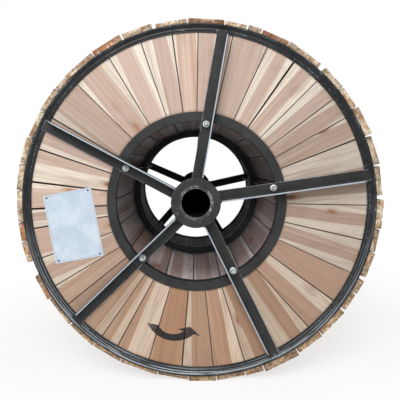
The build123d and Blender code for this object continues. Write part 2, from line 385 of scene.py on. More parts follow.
print("The arrow's tip lies", round(-1000 * arrow_tip[1]), "mm below the drum's axis")

# %% [markdown]
# ## Dirt and painted shade on the timber
#
# The boards darken where they run under the rim and the ring, from dirt and painted contact
# shade, and the rear of the barrel is darkened with painted shade. The flange boards are the
# cleanest timber, the staves the greyest and the battens the brownest.

# %% Dirt and painted shade where the boards run under the steel
def from_axis(node):
    """The least and greatest distance of a node's corners from the drum's axis."""
    distances = [Vector((v.co.x, v.co.z)).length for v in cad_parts[node].data.vertices]
    return min(distances), max(distances)


rim_lip_radius = from_axis("front_rim")[0]
ring_outside = from_axis("front_inner_ring")[1]
dirt_and_shade_reach = 0.022
dirt_and_contact_shade = linear(128, 100, 78)


def flange_outside(wood, colour, fibres):
    """Dirt and painted contact shade darken the boards beside the rim and the ring, then the arrow
    goes over it.
    """
    x, _, z = wood.split(wood.place())
    radius = wood.length(wood.vector(x, 0.0, z))
    uneven = wood.math("MULTIPLY", wood.noise(wood.place(), 14.0, 4.0, 0.65), dirt_and_shade_reach * 1.6)
    at_rim = wood.math("ADD", wood.math("SUBTRACT", rim_lip_radius, radius), uneven)
    at_ring = wood.math("ADD", wood.math("SUBTRACT", radius, ring_outside), uneven)
    near = wood.math("MINIMUM", at_rim, at_ring)
    # Painted contact shade together with dirt: the boards darken close to the rim and the ring.
    dirt_and_shade_share = wood.step(near, dirt_and_shade_reach * 0.4, dirt_and_shade_reach * 1.3, 0.5, 0.0)
    colour = wood.blend(dirt_and_shade_share, colour, dirt_and_contact_shade)
    return stencilled_arrow(wood, colour, fibres)


print("Dirt reaches", round(1000 * dirt_and_shade_reach), "mm past the steel")

# %% Painted shade in the rear of the barrel
rear_shade_starts = 0.0
rear_shade_full = 0.08
rear_shade_tint = linear(96, 94, 104)


def painted_rear_shade(wood, colour, _):
    """Painted shade: the rear half of the barrel is darkened."""
    level = wood.split(wood.place())[1]
    # Painted shade: the staves darken from the middle of the barrel towards its rear.
    rear_shade_share = wood.step(level, rear_shade_starts, rear_shade_full, 0.0, 0.92)
    return wood.blend(rear_shade_share, colour, rear_shade_tint, "MULTIPLY")


print("The barrel is fully damp behind", rear_shade_full, "m")

# %% The faces of all three timbers
flange_face = sawn_face(
    "flange_board_face",
    cream=linear(222, 213, 199),
    heart=linear(188, 166, 152),
    ring_line=linear(150, 120, 102),
    grime=linear(104, 84, 70),
    wear=0.32,
    outside_work=flange_outside,
)
stave_face = sawn_face(
    "barrel_stave_face",
    cream=linear(170, 162, 162),
    heart=linear(137, 121, 119),
    ring_line=linear(98, 85, 84),
    grime=linear(56, 49, 50),
    wear=0.55,
    outside_work=painted_rear_shade,
)
batten_face = sawn_face(
    "lagging_batten_face",
    cream=linear(230, 212, 184),
    heart=linear(196, 160, 130),
    ring_line=linear(150, 108, 80),
    grime=linear(96, 76, 60),
    wear=0.4,
)
print("Three sawn faces made")

# %% [markdown]
# ## End grain
#
# Where a plank is cut across, the growth rings show as arcs of a circle whose centre was the
# middle of the tree, often outside the plank. The saw leaves the end rough and it drinks dirt,
# so it is darker than the faces, from cream to red brown. Rain splashes the ends that lie near
# the ground, so the low ones are tanner and dirtier than the high ones.

# %% The sawn end of a plank
rings_to_metre = 210.0
splash_levels = (-0.75, 0.1)
splashed_tan = linear(214, 172, 122)
late_wood = linear(150, 108, 76)


def sawn_end(name, cream, red, brown, grime):
    """Ring arcs round a point beside the plank, with saw marks and dirt."""
    wood = Finish(name)
    across, through, log = wood_grain(wood)
    middle_across = wood.math("MULTIPLY_ADD", wood.math("FRACT", log), 0.16, -0.08)
    depth = wood.math("FRACT", wood.math("MULTIPLY", log, 3.7))
    middle_through = wood.math("MULTIPLY_ADD", depth, 0.08, -0.07)
    from_middle = wood.add(
        "ShaderNodeVectorMath",
        {
            0: wood.vector(across, through, 0.0),
            1: wood.vector(middle_across, middle_through, 0.0),
        },
        operation="DISTANCE",
    ).outputs["Value"]
    rough = wood.noise(wood.vector(across, through, log), 60.0, 4.0, 0.6)
    uneven = wood.math("MULTIPLY", rough, 0.8)
    rings = wood.math("FRACT", wood.math("MULTIPLY_ADD", from_middle, rings_to_metre, uneven))
    late = wood.step(rings, 0.4, 0.95)
    tone = wood.noise(wood.vector(across, through, log), 26.0, 3.0, 0.6)
    pits = wood.noise(wood.vector(across, through, log), 150.0, 3.0, 0.7)
    redness = wood.step(wood.math("ADD", tone, wood.attribute("warmth")), 0.80, 1.10)
    near_ground = wood.step(wood.split(wood.place())[2], *splash_levels, 1.0, 0.0)
    colour = wood.blend(redness, cream, red)
    colour = wood.blend(wood.math("MULTIPLY", near_ground, 0.5), colour, splashed_tan)
    colour = wood.blend(wood.step(tone, 0.50, 0.62, 0.0, 0.8), colour, brown)
    colour = wood.blend(wood.math("MULTIPLY", late, 0.24), colour, late_wood)
    colour = wood.blend(wood.step(rough, 0.48, 0.64, 0.0, 0.7), colour, grime)
    colour = wood.blend(wood.step(pits, 0.52, 0.62, 0.0, 0.6), colour, grime)
    splashed = wood.math("MULTIPLY", near_ground, wood.step(tone, 0.42, 0.52, 0.5, 0.0))
    colour = wood.blend(splashed, colour, grime)
    colour = wood.blend(wood.step(wood.attribute("edge"), 0.3, 1.0, 0.0, 0.5), colour, grime)
    shade = wood.attribute("shade")
    colour = wood.blend(1.0, colour, wood.vector(shade, shade, shade), "MULTIPLY")
    wood.relief(wood.math("ADD", rough, wood.math("MULTIPLY", late, 0.3)), 0.0016)
    return wood.finish(colour, 0.88)


pale_end = sawn_end(
    "plank_end",
    cream=linear(226, 210, 184),
    red=linear(176, 112, 84),
    brown=linear(182, 130, 78),
    grime=linear(94, 66, 44),
)
print("End grain made")

# %% [markdown]
# ## Reading planks from the frame
#
# A CAD plank is a plain prism with eight corners. A copy of its node is merged into welded
# solids, and each solid gives its own corners, from which follow its middle, its direction and
# its widths. Nothing has to be typed in again, and a plank always lies where its solid lies.

# %% Split a node into its solids
weld_distance = 1e-5
drum_axis = Vector((0, 1, 0))


def welded(node):
    """A merged copy of a CAD node's mesh."""
    mesh = bmesh.new()
    mesh.from_mesh(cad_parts[node].data)
    bmesh.ops.remove_doubles(mesh, verts=mesh.verts[:], dist=weld_distance)
    return mesh


def solids_of(node):
    """The corners of each separate solid in a node."""
    mesh = welded(node)
    waiting = set(mesh.verts)
    solids = []
    while waiting:
        reached = [waiting.pop()]
        corners = []
        while reached:
            corner = reached.pop()
            corners.append(corner.co.copy())
            near = {edge.other_vert(corner) for edge in corner.link_edges} & waiting
            waiting -= near
            reached.extend(near)
        solids.append(corners)
    mesh.free()
    solids.sort(key=lambda corners: math.atan2(*middle_of(corners).xz))
    return solids


def middle_of(corners):
    return sum(corners, Vector()) / len(corners)


def span(values):
    """Lowest and highest of some numbers."""
    values = list(values)
    return min(values), max(values)


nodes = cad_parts
flange_nodes = sorted(n for n in nodes if "_boards_" in n)
stave_nodes = sorted(n for n in nodes if n.startswith("barrel_staves"))
lagging_nodes = sorted(n for n in nodes if n.startswith("lagging"))
plank_count = sum(len(solids_of(n)) for n in flange_nodes + stave_nodes + lagging_nodes)
print("The frame holds", plank_count, "planks")

# %% [markdown]
# ## A sawn plank
#
# A sawn plank isn't a perfect prism. Its edges are slightly rounded and ragged, and its ends are
# broken a little by handling. Each plank is lofted: a rounded outline is repeated at many
# stations along the grain, and a noise moves its points inwards by fractions of a millimetre,
# least of all at the sides, where the next plank lies. The same function makes flange boards,
# staves and battens, because only their directions and widths differ.

# %% Loft one plank
plank_looks = ("heart_at", "heart_half", "warmth", "shade")
plank_stations = 22
face_shares = 5
arris_zone = 0.0035
side_raggedness = 0.2
wood_seed = 41
chooser = random.Random(wood_seed)


def plank_outline(half_width, half_thickness, round_by):
    """Points round a plank's section, each with 1 on a rounded long edge and 0 on a face."""
    points = []
    corners = [(1, -1), (1, 1), (-1, 1), (-1, -1)]
    for number, (side, face) in enumerate(corners):
        centre = (side * (half_width - round_by), face * (half_thickness - round_by))
        for turn in (0.0, 0.5, 1.0):
            angle = math.pi / 2 * (number - 1 + turn)
            points.append((
                centre[0] + round_by * math.cos(angle),
                centre[1] + round_by * math.sin(angle),
                1.0,
            ))
        if face == side:
            flat = half_width - round_by - arris_zone
            for share in range(face_shares + 1):
                place = 1 - 2 * share / face_shares
                points.append((side * place * flat, face * half_thickness, 0.0))
    return points


def loft_plank(mesh, axes, reach, half_widths, levels, looks, ragged, round_by, end_bevel=0.0012):
    """Add one plank. Axes are its directions along, across and through, and reach its two ends."""
    along, across, through = axes
    values = {name: mesh.verts.layers.float[name] for name in ("plank", *plank_looks)}
    edge_value = mesh.verts.layers.float["edge"]
    half_thickness = (levels[1] - levels[0]) / 2
    middle = sum(levels) / 2
    length = reach[1] - reach[0]
    shares = [0.0, end_bevel / length]
    shares += [number / plank_stations for number in range(1, plank_stations)]
    shares += [1 - shares[1], 1.0]
    slants = [chooser.uniform(-1, 1) * ragged * 1.5 for _ in range(2)]
    rows = []
    for number, share in enumerate(shares):
        distance = reach[0] + length * share
        half_width = half_widths[0] + (half_widths[1] - half_widths[0]) * share
        shrink = end_bevel if number in (0, len(shares) - 1) else 0.0
        row = []
        for side, face, near_edge in plank_outline(
            half_width - shrink, half_thickness - shrink, round_by
        ):
            sample = Vector((distance * 6, side * 60, face * 90 + looks["plank"] * 400))
            rough = abs(noise.noise(sample)) * ragged * (0.25 + 0.5 * near_edge)
            torn = abs(noise.noise(sample * 0.4 + Vector((9, 5, 2)))) * ragged
            moved = distance
            if number < 2:
                moved += torn + abs(slants[0]) + slants[0] * side / half_width
            if number > len(shares) - 3:
                moved -= torn + abs(slants[1]) + slants[1] * side / half_width
            inward = 1 - (rough + torn * near_edge) * side_raggedness / half_width
            sunk = 1 - (rough + torn * near_edge * 0.5) / half_thickness
            place = along * moved + across * side * inward + through * (middle + face * sunk)
            vert = mesh.verts.new(place)
            for name, layer in values.items():
                vert[layer] = looks[name]
            vert[edge_value] = near_edge
            row.append((vert, side, face))
        rows.append((distance, row))
    skin_plank(mesh, rows)


def skin_plank(mesh, rows):
    """The sides between a plank's rows, its two sawn ends, and the grain map of all of them."""
    grain = mesh.loops.layers.uv["grain"]
    for (start, first), (end, second) in zip(rows, rows[1:]):
        for corner in range(len(first)):
            after = (corner + 1) % len(first)
            quad = [first[corner], first[after], second[after], second[corner]]
            face = mesh.faces.new([vert for vert, _, _ in quad])
            face.smooth = True
            for loop, distance, (_, side, thick) in zip(face.loops, (start, start, end, end), quad):
                loop[grain].uv = (distance, side + thick)
    for row, turned_over in ((rows[0][1], True), (rows[-1][1], False)):
        ordered = row[::-1] if turned_over else row
        face = mesh.faces.new([vert for vert, _, _ in ordered])
        face.material_index = 1
        for loop, (_, side, thick) in zip(face.loops, ordered):
            loop[grain].uv = (side, thick)


print("A plank's section has", len(plank_outline(0.06, 0.01, 0.002)), "points")

# %% Turn a node's planks into sawn timber
def looks_for(half_width, warm, shade):
    """Where one plank's heartwood lies, and how warm and dark the plank is."""
    return {
        "plank": chooser.random(),
        "heart_at": chooser.uniform(-0.8, 0.8) * half_width,
        "heart_half": chooser.uniform(0.32, 1.1) * half_width,
        "warmth": min(1.0, max(0.0, warm)),
        "shade": chooser.gauss(*shade),
    }


def new_timber():
    """An empty mesh with the grain map and the attributes that the wood finishes read."""
    mesh = bmesh.new()
    mesh.loops.layers.uv.new("grain")
    for name in ("plank", "edge", *plank_looks):
        mesh.verts.layers.float.new(name)
    return mesh


def keep(mesh, name, node, materials):
    """Make an object of a finished mesh, in place of a CAD node."""
    bmesh.ops.recalc_face_normals(mesh, faces=mesh.faces[:])
    data = bpy.data.meshes.new(name)
    mesh.to_mesh(data)
    mesh.free()
    for material in materials:
        data.materials.append(material)
    piece = bpy.data.objects.new(name, data)
    bpy.context.scene.collection.objects.link(piece)
    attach(piece, "root")
    if node:
        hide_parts(node)
    return piece


board_unevenness = 0.0008
right_starts = 0.78


def board_timber(node):
    """The tapered boards of one sector of a flange, browner low down and at the right."""
    mesh = new_timber()
    outward = -1 if node.startswith("front") else 1
    for corners in solids_of(node):
        middle = middle_of(corners)
        along = Vector((middle.x, 0, middle.z)).normalized()
        across = along.cross(drum_axis)
        reach = span(corner.dot(along) for corner in corners)
        half = [
            max(abs(c.dot(across)) for c in corners if abs(c.dot(along) - end) < weld_distance * 10)
            for end in reach
        ]
        levels = span(corner.y * outward for corner in corners)
        through = drum_axis * outward
        low = max(0.0, -along.z)
        right = min(1.0, max(0.0, along.x - right_starts) / (1 - right_starts) * 2)
        warm = chooser.gauss(0.02 + 0.72 * low + 0.12 * right, 0.07)
        looks = looks_for(max(half), warm, (1.0 - 0.14 * low - 0.26 * right, 0.05))
        top = levels[1] - chooser.uniform(0, board_unevenness)
        loft_plank(
            mesh, (along, across, through), reach, half, (levels[0], top), looks,
            ragged=0.0006, round_by=0.0008,
        )
    return keep(mesh, node + "_sawn", node, [flange_face, pale_end])


boards = [board_timber(node) for node in flange_nodes]
print("Flange boards:", sum(len(piece.data.polygons) for piece in boards), "faces")

# %% [markdown]
# Staves and battens run along the drum's axis. Their faces look outwards along the radius, so
# the same loft is used with the axis as the grain direction. The battens are the roughest:
# their ends are seen from the front all round the rim.

# %% Staves of the barrel and battens round the rims
def axial_timber(node, materials, tint, ragged, round_by, end_play, end_bevel):
    """Planks that lie along the drum's axis, flat on a circle. Tint gives warmth and shade."""
    mesh = new_timber()
    for corners in solids_of(node):
        middle = middle_of(corners)
        through = Vector((middle.x, 0, middle.z)).normalized()
        across = through.cross(drum_axis)
        ends = span(corner.y for corner in corners)
        reach = (ends[0] + chooser.uniform(0, end_play), ends[1] - chooser.uniform(0, end_play))
        half = max(abs(corner.dot(across)) for corner in corners)
        levels = span(corner.dot(through) for corner in corners)
        looks = looks_for(half, *tint(through))
        axes = (drum_axis, across, through)
        loft_plank(mesh, axes, reach, (half, half), levels, looks, ragged, round_by, end_bevel)
    return keep(mesh, node + "_sawn", node, materials)


red_batten_angles = (60, 86, 120, 190, 209)
red_reach = 4.5


def stave_tint(through):
    """Warmth and shade of a stave: the lowest ones are the palest, a painted light where they face
    up.
    """
    low = max(0.0, -through.z)
    # Painted light: the shade value rises for the low staves, which face up to the light.
    return chooser.choice((0.0, 0.1, 0.2, 0.4)), (1.0 + 0.75 * low, 0.09)


def batten_tint(through):
    """Warmth and shade of a batten: a few are red, and the low ones are brown."""
    angle = math.degrees(math.atan2(through.z, through.x)) % 360
    red = any(abs(angle - red_angle) < red_reach for red_angle in red_batten_angles)
    low = max(0.0, -through.z)
    warm = chooser.uniform(0.45, 0.6) if red else chooser.choice((0.0, 0.0, 0.05, 0.1))
    return warm, (0.97 - 0.12 * low, 0.07)


staves = [
    axial_timber(
        node, [stave_face, pale_end], stave_tint,
        ragged=0.0006, round_by=0.001, end_play=0.001, end_bevel=0.001,
    )
    for node in stave_nodes
]
battens = [
    axial_timber(
        node, [batten_face, pale_end], batten_tint,
        ragged=0.0026, round_by=0.0015, end_play=0.006, end_bevel=0.0004,
    )
    for node in lagging_nodes
]
print("Staves and battens:", sum(len(p.data.polygons) for p in staves + battens), "faces")

# %% [markdown]
# ## Charcoal paint on rolled steel
#
# The frame was dipped or sprayed in thin charcoal paint after welding. It is dull where it lies
# flat, shows rolling marks beneath, and has rubbed through to pale steel along every corner.
# An attribute named edge marks the rounded corners of each piece, so that the wear stays on
# them and doesn't depend on how a mesh is cut. The rims also carry thin pale lines on two
# slopes of their section, the flare and the ridge: scuffs with painted highlights, strongest
# low down and at the left, where these slopes face up to the light.

# %% The paint
def frame_paint(name, base, light, bare, edge_wear, streaks, gloss, scuff_highlights=None):
    """Thin dark paint: mottled, scratched, rubbed to bare steel along the edges, and where asked,
    scuffed with painted highlights.
    """
    paint = Finish(name)
    place = paint.place()
    mottle = paint.noise(place, 12.0, 5.0, 0.6)
    speck = paint.noise(place, 150.0, 3.0, 0.7)
    stretched = paint.add("ShaderNodeMapping", {"Vector": place, "Scale": (26.0, 5.0, 26.0)})
    streak = paint.noise(stretched.outputs[0], 1.5, 4.0, 0.6)
    rubbed = paint.math("MULTIPLY", paint.attribute("edge"), edge_wear)
    rubbed = paint.math("MULTIPLY_ADD", paint.math("SUBTRACT", speck, 0.5), 1.4, rubbed)
    rubbed = paint.math("MULTIPLY_ADD", paint.math("SUBTRACT", mottle, 0.5), 1.0, rubbed)
    worn = paint.step(rubbed, 0.48, 0.82)
    # Rim scuffs and their painted highlights show as bare steel.
    if scuff_highlights:
        worn = paint.math("MAXIMUM", worn, scuff_highlights(paint))
    colour = paint.blend(paint.step(mottle, 0.3, 0.7), base, light)
    colour = paint.blend(paint.step(streak, 0.60, 0.80, 0.0, streaks), colour, bare)
    colour = paint.blend(worn, colour, bare)
    paint.relief(paint.math("MULTIPLY_ADD", mottle, 2.0, speck), 0.0003)
    roughness = paint.step(speck, 0.3, 0.7, gloss, gloss + 0.2)
    paint.give(paint.shader.inputs["Specular IOR Level"], 0.3)
    return paint.finish(colour, roughness, paint.step(worn, 0.0, 1.0, 0.0, 0.4))


print("Paint can be mixed")

# %% Scuffs and painted highlights on the rims
flare_slope = (0.7815, 0.7940)
ridge_slope = (0.7670, 0.7720)
slope_fade = 0.001
scuff_highlights_round = 5.0
scuff_highlights_out = 210.0
scuff_highlight_pitch = 0.0095


def rolling_scuffs_and_highlights(paint):
    """Scuffs and painted highlights drawn out round the rim on its two slopes, strongest low and at
    the left, where the slopes face the light.
    """
    x, _, z = paint.split(paint.place())
    radius = paint.length(paint.vector(x, 0.0, z))
    around = paint.math("MULTIPLY", paint.math("ARCTAN2", z, x), scuff_highlights_round)
    outwards = paint.math("MULTIPLY", radius, scuff_highlights_out)
    lines = paint.noise(paint.vector(around, outwards, 0.0), 1.0, 1.0)
    grooves = paint.math("SINE", paint.math("MULTIPLY", radius, math.tau / scuff_highlight_pitch))
    lines = paint.math("MULTIPLY_ADD", grooves, 0.1, lines)

    def on_slope(slope):
        starts = paint.step(radius, slope[0] - slope_fade, slope[0])
        ends = paint.step(radius, slope[1], slope[1] + slope_fade, 1.0, 0.0)
        return paint.math("MULTIPLY", starts, ends)

    slopes = paint.math("MULTIPLY_ADD", on_slope(ridge_slope), 0.7, on_slope(flare_slope))
    # Painted highlight: the lines are strongest low down and at the left, where the slopes face up to
    # the light.
    low = paint.step(z, -0.62, 0.1, 1.0, 0.0)
    left = paint.step(x, -0.5, 0.5, 1.0, 0.6)
    amount = paint.math("MULTIPLY", left, paint.step(lines, 0.42, 0.58, 0.0, 0.68))
    return paint.math("MULTIPLY", paint.math("MULTIPLY", slopes, low), amount)


print("The rims are scuffed from", ridge_slope[0], "to", flare_slope[1], "m off the axis")

# %% Four paints
charcoal = frame_paint(
    "charcoal_paint",
    base=linear(40, 41, 41),
    light=linear(51, 52, 51),
    bare=linear(172, 182, 191),
    edge_wear=0.78,
    streaks=0.10,
    gloss=0.5,
)
rim_paint = frame_paint(
    "rim_paint",
    base=linear(28, 30, 32),
    light=linear(41, 43, 45),
    bare=linear(164, 172, 178),
    edge_wear=0.48,
    streaks=0.22,
    gloss=0.34,
    scuff_highlights=rolling_scuffs_and_highlights,
)
hub_paint = frame_paint(
    "hub_paint",
    base=linear(42, 42, 41),
    light=linear(55, 55, 53),
    bare=linear(168, 170, 168),
    edge_wear=0.62,
    streaks=0.25,
    gloss=0.5,
)
weld_paint = frame_paint(
    "weld_paint",
    base=linear(58, 58, 56),
    light=linear(92, 92, 88),
    bare=linear(204, 206, 202),
    edge_wear=0.78,
    streaks=0.3,
    gloss=0.42,
)
print("Four paints mixed")

# %% Grime and painted shade in the bore
def bore_grime_and_shade():
    """Greasy black dirt on the bare wall of the bore, where a spindle has turned, and painted shade:
    the wall is nearly black.
    """
    grime = Finish("bore_grime_and_shade")
    smear = grime.noise(grime.place(), 40.0, 4.0, 0.6)
    # Nearly black: greasy dirt together with painted shade inside the bore.
    colour = grime.blend(grime.step(smear, 0.4, 0.7), linear(20, 21, 21), linear(30, 30, 29))
    grime.give(grime.shader.inputs["Specular IOR Level"], 0.1)
    return grime.finish(colour, 0.85)


bore_finish = bore_grime_and_shade()
print("Grime made")

# %% [markdown]
# ## Rings, rims and plates
#
# Everything round on the frame is one section turned about the drum's axis. The section is
# read from the CAD node itself, where the turned solid's seam lies, and its corners are
# rounded before it is turned, because no rolled or pressed edge is sharp.

# %% Read a section, round its corners and turn it
def seam_section(node):
    """The closed outline, as (radius, level) points, along which a turned solid was cut."""
    mesh = welded(node)
    walk = [min(mesh.verts, key=lambda v: (round(abs(math.atan2(v.co.z, v.co.x)), 4), v.co.y))]
    while True:
        neighbours = [edge.other_vert(walk[-1]) for edge in walk[-1].link_edges]
        following = [
            vert
            for vert in neighbours
            if abs(vert.co.z) < weld_distance * 3 and vert.co.x > 0 and vert not in walk
        ]
        if not following:
            break
        walk.append(following[0])
    points = [(vert.co.x, vert.co.y) for vert in walk]
    mesh.free()
    return points


def rounded(outline, radius, arc_steps=3):
    """An outline with each corner turned into a small arc, and an edge value on each point."""
    corners = [Vector(point) for point in outline]
    area = sum(a.x * b.y - b.x * a.y for a, b in zip(corners, corners[1:] + corners[:1]))
    points = []
    for before, corner, after in zip(corners[-1:] + corners[:-1], corners, corners[1:] + corners[:1]):
        back = before - corner
        onward = after - corner
        cut = min(radius, 0.42 * back.length, 0.42 * onward.length)
        start = corner + back.normalized() * cut
        end = corner + onward.normalized() * cut
        stands_out = (onward.x * back.y - back.x * onward.y) * area > 0
        sharp = back.normalized().dot(onward.normalized()) > -0.85
        rub = 1.0 if stands_out and sharp else 0.0
        support = min(radius, 0.2 * back.length)
        points.append((*(corner + back.normalized() * (cut + support * 0.2)), 0.0))
        for step in range(arc_steps + 1):
            t = step / arc_steps
            arc = start * (1 - t) ** 2 + corner * 2 * t * (1 - t) + end * t**2
            points.append((*arc, rub * (1.0 if 0 < t < 1 else 0.6)))
        points.append((*(corner + onward.normalized() * (cut + support * 0.2)), 0.0))
    return points


def join_rows(mesh, rows, smooth=True):
    """Skin a mesh from row to row, where each row of corners runs once round the piece."""
    for row, following in zip(rows, rows[1:]):
        for corner in range(len(row)):
            after = (corner + 1) % len(row)
            face = mesh.faces.new([row[corner], row[after], following[after], following[corner]])
            face.smooth = smooth


def turned(outline, steps=192):
    """Turn a rounded outline about the drum's axis."""
    mesh = bmesh.new()
    edge_value = mesh.verts.layers.float.new("edge")
    rings = []
    for step in range(steps):
        angle = math.tau * step / steps
        ring = []
        for radius, level, rub in outline:
            place = (radius * math.cos(angle), level, radius * math.sin(angle))
            vert = mesh.verts.new(place)
            vert[edge_value] = rub
            ring.append(vert)
        rings.append(ring)
    join_rows(mesh, rings + rings[:1])
    return mesh


print("The rim's section has", len(seam_section("front_rim")), "corners")

# %% Turn the rims, rings, plates and tube
# The rear flange is the front one turned round, so its sections are the front's reversed.
steel_round = 0.0012
round_pieces = (
    ("rim", rim_paint, 1.0),
    ("inner_ring", charcoal, 0.5),
    ("hub_plate", hub_paint, 0.9),
)
for part, finish, rubbing in round_pieces:
    section = seam_section("front_" + part)
    for side, way in (("front", 1), ("rear", -1)):
        outline = rounded([(radius, level * way) for radius, level in section], steel_round)
        outline = [(radius, level, rub * rubbing) for radius, level, rub in outline]
        node = f"{side}_{part}"
        keep(turned(outline, steps=240), node + "_turned", node, [finish])

outline = rounded(seam_section("middle_ring"), steel_round)
keep(turned(outline), "middle_ring_turned", "middle_ring", [charcoal])

tube_section = seam_section("centre_tube")
bore_radius = min(radius for radius, _ in tube_section)
tube_outside = max(radius for radius, _ in tube_section)
tube_end = max(level for _, level in tube_section)
outline = rounded(tube_section, steel_round)
end_wear = 0.75
bore_edge_wear = 1.5


def tube_rub(radius, level, rub):
    """The tube's ends are scraped, and most of all the edge of the bore."""
    if abs(level) < tube_end - 2 * steel_round:
        return rub
    if radius < bore_radius + steel_round:
        return bore_edge_wear
    return end_wear


outline = [(radius, level, tube_rub(radius, level, rub)) for radius, level, rub in outline]
tube = turned(outline)
for face in tube.faces:
    farthest = max(Vector((vert.co.x, vert.co.z)).length for vert in face.verts)
    if farthest < bore_radius + steel_round / 2:
        face.material_index = 1
keep(tube, "centre_tube_turned", "centre_tube", [hub_paint, bore_finish])
print("Rims, rings, plates and tube turned; the bore is", round(2000 * bore_radius), "mm wide")

# %% [markdown]
# ## Spokes
#
# A spoke is hot-rolled angle bar: a flat web against the boards and a leg that stands outwards
# and makes the wheel stiff. Its section is read from the end face of the CAD bar, its corners
# are rounded, and it is run out to the rim, where the leg is cut back at 45 degrees.

# %% Read a bar's direction and section, and run it out
def bar_section(node):
    """A bar's directions, its outline at the inner end, its reach and its web's outer level."""
    mesh = welded(node)
    mesh.normal_update()
    outward = drum_axis * (-1 if node.startswith("front") else 1)
    upright = [face for face in mesh.faces if abs(face.normal.y) < 0.01]
    across = max(upright, key=lambda face: face.calc_area()).normal.copy()
    along = across.cross(outward)
    if along.dot(middle_of([v.co for v in mesh.verts])) < 0:
        along.negate()
    across = outward.cross(along)
    start, end = span(v.co.dot(along) for v in mesh.verts)
    inner = {v for v in mesh.verts if abs(v.co.dot(along) - start) < weld_distance}
    loose_ends = [
        edge
        for edge in mesh.edges
        if set(edge.verts) <= inner
        and any(abs(face.normal.dot(along)) < 0.5 for face in edge.link_faces)
    ]
    walk = [loose_ends[0].verts[0]]
    while len(walk) < len(loose_ends):
        following = [
            edge.other_vert(walk[-1])
            for edge in walk[-1].link_edges
            if edge in loose_ends and edge.other_vert(walk[-1]) not in walk
        ]
        walk.append(following[0])
    outline = [(v.co.dot(across), v.co.dot(outward)) for v in walk]
    at_end = [v.co.dot(outward) for v in mesh.verts if abs(v.co.dot(along) - end) < weld_distance]
    mesh.free()
    return along, across, outward, outline, (start, end), max(at_end)


bar_round = 0.0011
bar_bow = 0.0005
tip_zone = 0.0016
tip_wear = 1.35


def spoke_bar(node, stations=48):
    """The whole bar, its leg mitred at the rim."""
    along, across, outward, outline, reach, web_level = bar_section(node)
    leg_tip = max(level for _, level in outline)
    points = rounded(outline, bar_round)
    mesh = bmesh.new()
    edge_value = mesh.verts.layers.float.new("edge")
    rows = []
    for station in range(stations + 1):
        share = station / stations
        row = []
        for lateral, level, rub in points:
            mitre = max(0.0, level - web_level)
            distance = reach[0] + (reach[1] - mitre - reach[0]) * share
            sample = Vector((distance * 5, lateral * 20, level * 8))
            bow = noise.noise(sample) * bar_bow
            place = along * distance + across * (lateral + bow) + outward * level
            vert = mesh.verts.new(place)
            on_tip = level > leg_tip - tip_zone
            vert[edge_value] = tip_wear if on_tip else rub
            row.append(vert)
        rows.append(row)
    join_rows(mesh, rows)
    mesh.faces.new(rows[0][::-1])
    mesh.faces.new(rows[-1])
    return keep(mesh, node + "_bar", node, [charcoal])


spoke_nodes = sorted(n for n in nodes if "_spoke_" in n)
spokes = [spoke_bar(node) for node in spoke_nodes]
print(len(spokes), "spokes of", len(spokes[0].data.polygons), "faces each")

# %% [markdown]
# ## Tie rods, washers and nuts
#
# Five rods pull the two flanges together through the barrel. Their ends are threaded, and each
# carries a flat washer and a hexagon nut with chamfered corners, all zinc plated. A thread at
# this size is a row of ridges, so a rod is one ridged outline turned about its own line. The
# same nut sits on every rod, so Geometry Nodes place it on a point at each rod. A nut carries
# an attribute named thread, which is 1 on its bore, where painted shade darkens it.

# %% Zinc plating
zinc_dirt = linear(88, 84, 78)
thread_shade = linear(34, 35, 37)
old_dirt_and_shade = (linear(52, 50, 49), linear(78, 76, 73))
dull_fade = 0.004


def zinc_plate(name, bright, cloudy, metal=0.85, dull_within=None):
    """Plating, cloudy and with a little dirt. Within a level it is dull and dark, from old dirt and
    painted shade.
    """
    zinc = Finish(name)
    place = zinc.place()
    cloud = zinc.noise(place, 90.0, 3.0, 0.6)
    dirt = zinc.noise(place, 35.0, 4.0, 0.6)
    colour = zinc.blend(zinc.step(cloud, 0.3, 0.7), bright, cloudy)
    colour = zinc.blend(zinc.step(dirt, 0.56, 0.72, 0.0, 0.6), colour, zinc_dirt)
    # Painted shade darkens a nut's threaded bore.
    thread = zinc.step(zinc.attribute("thread"), 0.1, 0.7, 0.0, 0.85)
    colour = zinc.blend(thread, colour, thread_shade)
    zinc.relief(cloud, 0.0003)
    if dull_within is None:
        return zinc.finish(colour, zinc.step(cloud, 0.3, 0.7, 0.30, 0.46), metal)
    # Inside the barrel the rods are darkened: old dirt together with painted shade.
    level = zinc.math("ABSOLUTE", zinc.split(place)[1])
    clean = zinc.step(level, dull_within - dull_fade, dull_within)
    colour = zinc.blend(clean, zinc.blend(cloud, *old_dirt_and_shade), colour)
    roughness = zinc.step(clean, 0.0, 1.0, 0.7, 0.38)
    return zinc.finish(colour, roughness, zinc.step(clean, 0.0, 1.0, 0.2, metal))


washer_zinc = zinc_plate("washer_plating", linear(244, 247, 248), linear(226, 231, 234), metal=0.2)
nut_zinc = zinc_plate("nut_plating", linear(226, 229, 231), linear(196, 200, 203), metal=0.2)
web_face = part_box("front_washers")[1].y
rod_zinc = zinc_plate(
    "rod_plating", linear(216, 219, 219), linear(180, 184, 187), dull_within=abs(web_face)
)
print("Zinc made; the rods are dull within", round(abs(web_face), 4), "m of the middle")

# %% Threaded tie rods
thread_pitch = 0.002
thread_depth = 0.0011
thread_length = 0.05
rod_bevel = 0.0015
rod_steps = 20


def solid_centres(node):
    """The middle of each solid in a node, as a point on the flange."""
    return [middle_of(corners) for corners in solids_of(node)]


def rod_outline(radius, low, high):
    """A rod's outline from one end to the other: bevel, threads, plain middle and back."""
    points = [(radius - rod_bevel, low)]
    turns = int(thread_length / thread_pitch)
    for number in range(turns):
        level = low + rod_bevel + number * thread_pitch
        points.append((radius, level))
        points.append((radius - thread_depth, level + thread_pitch / 2))
    points.append((radius, low + rod_bevel + turns * thread_pitch))
    return points + [(r, low + high - level) for r, level in reversed(points)]


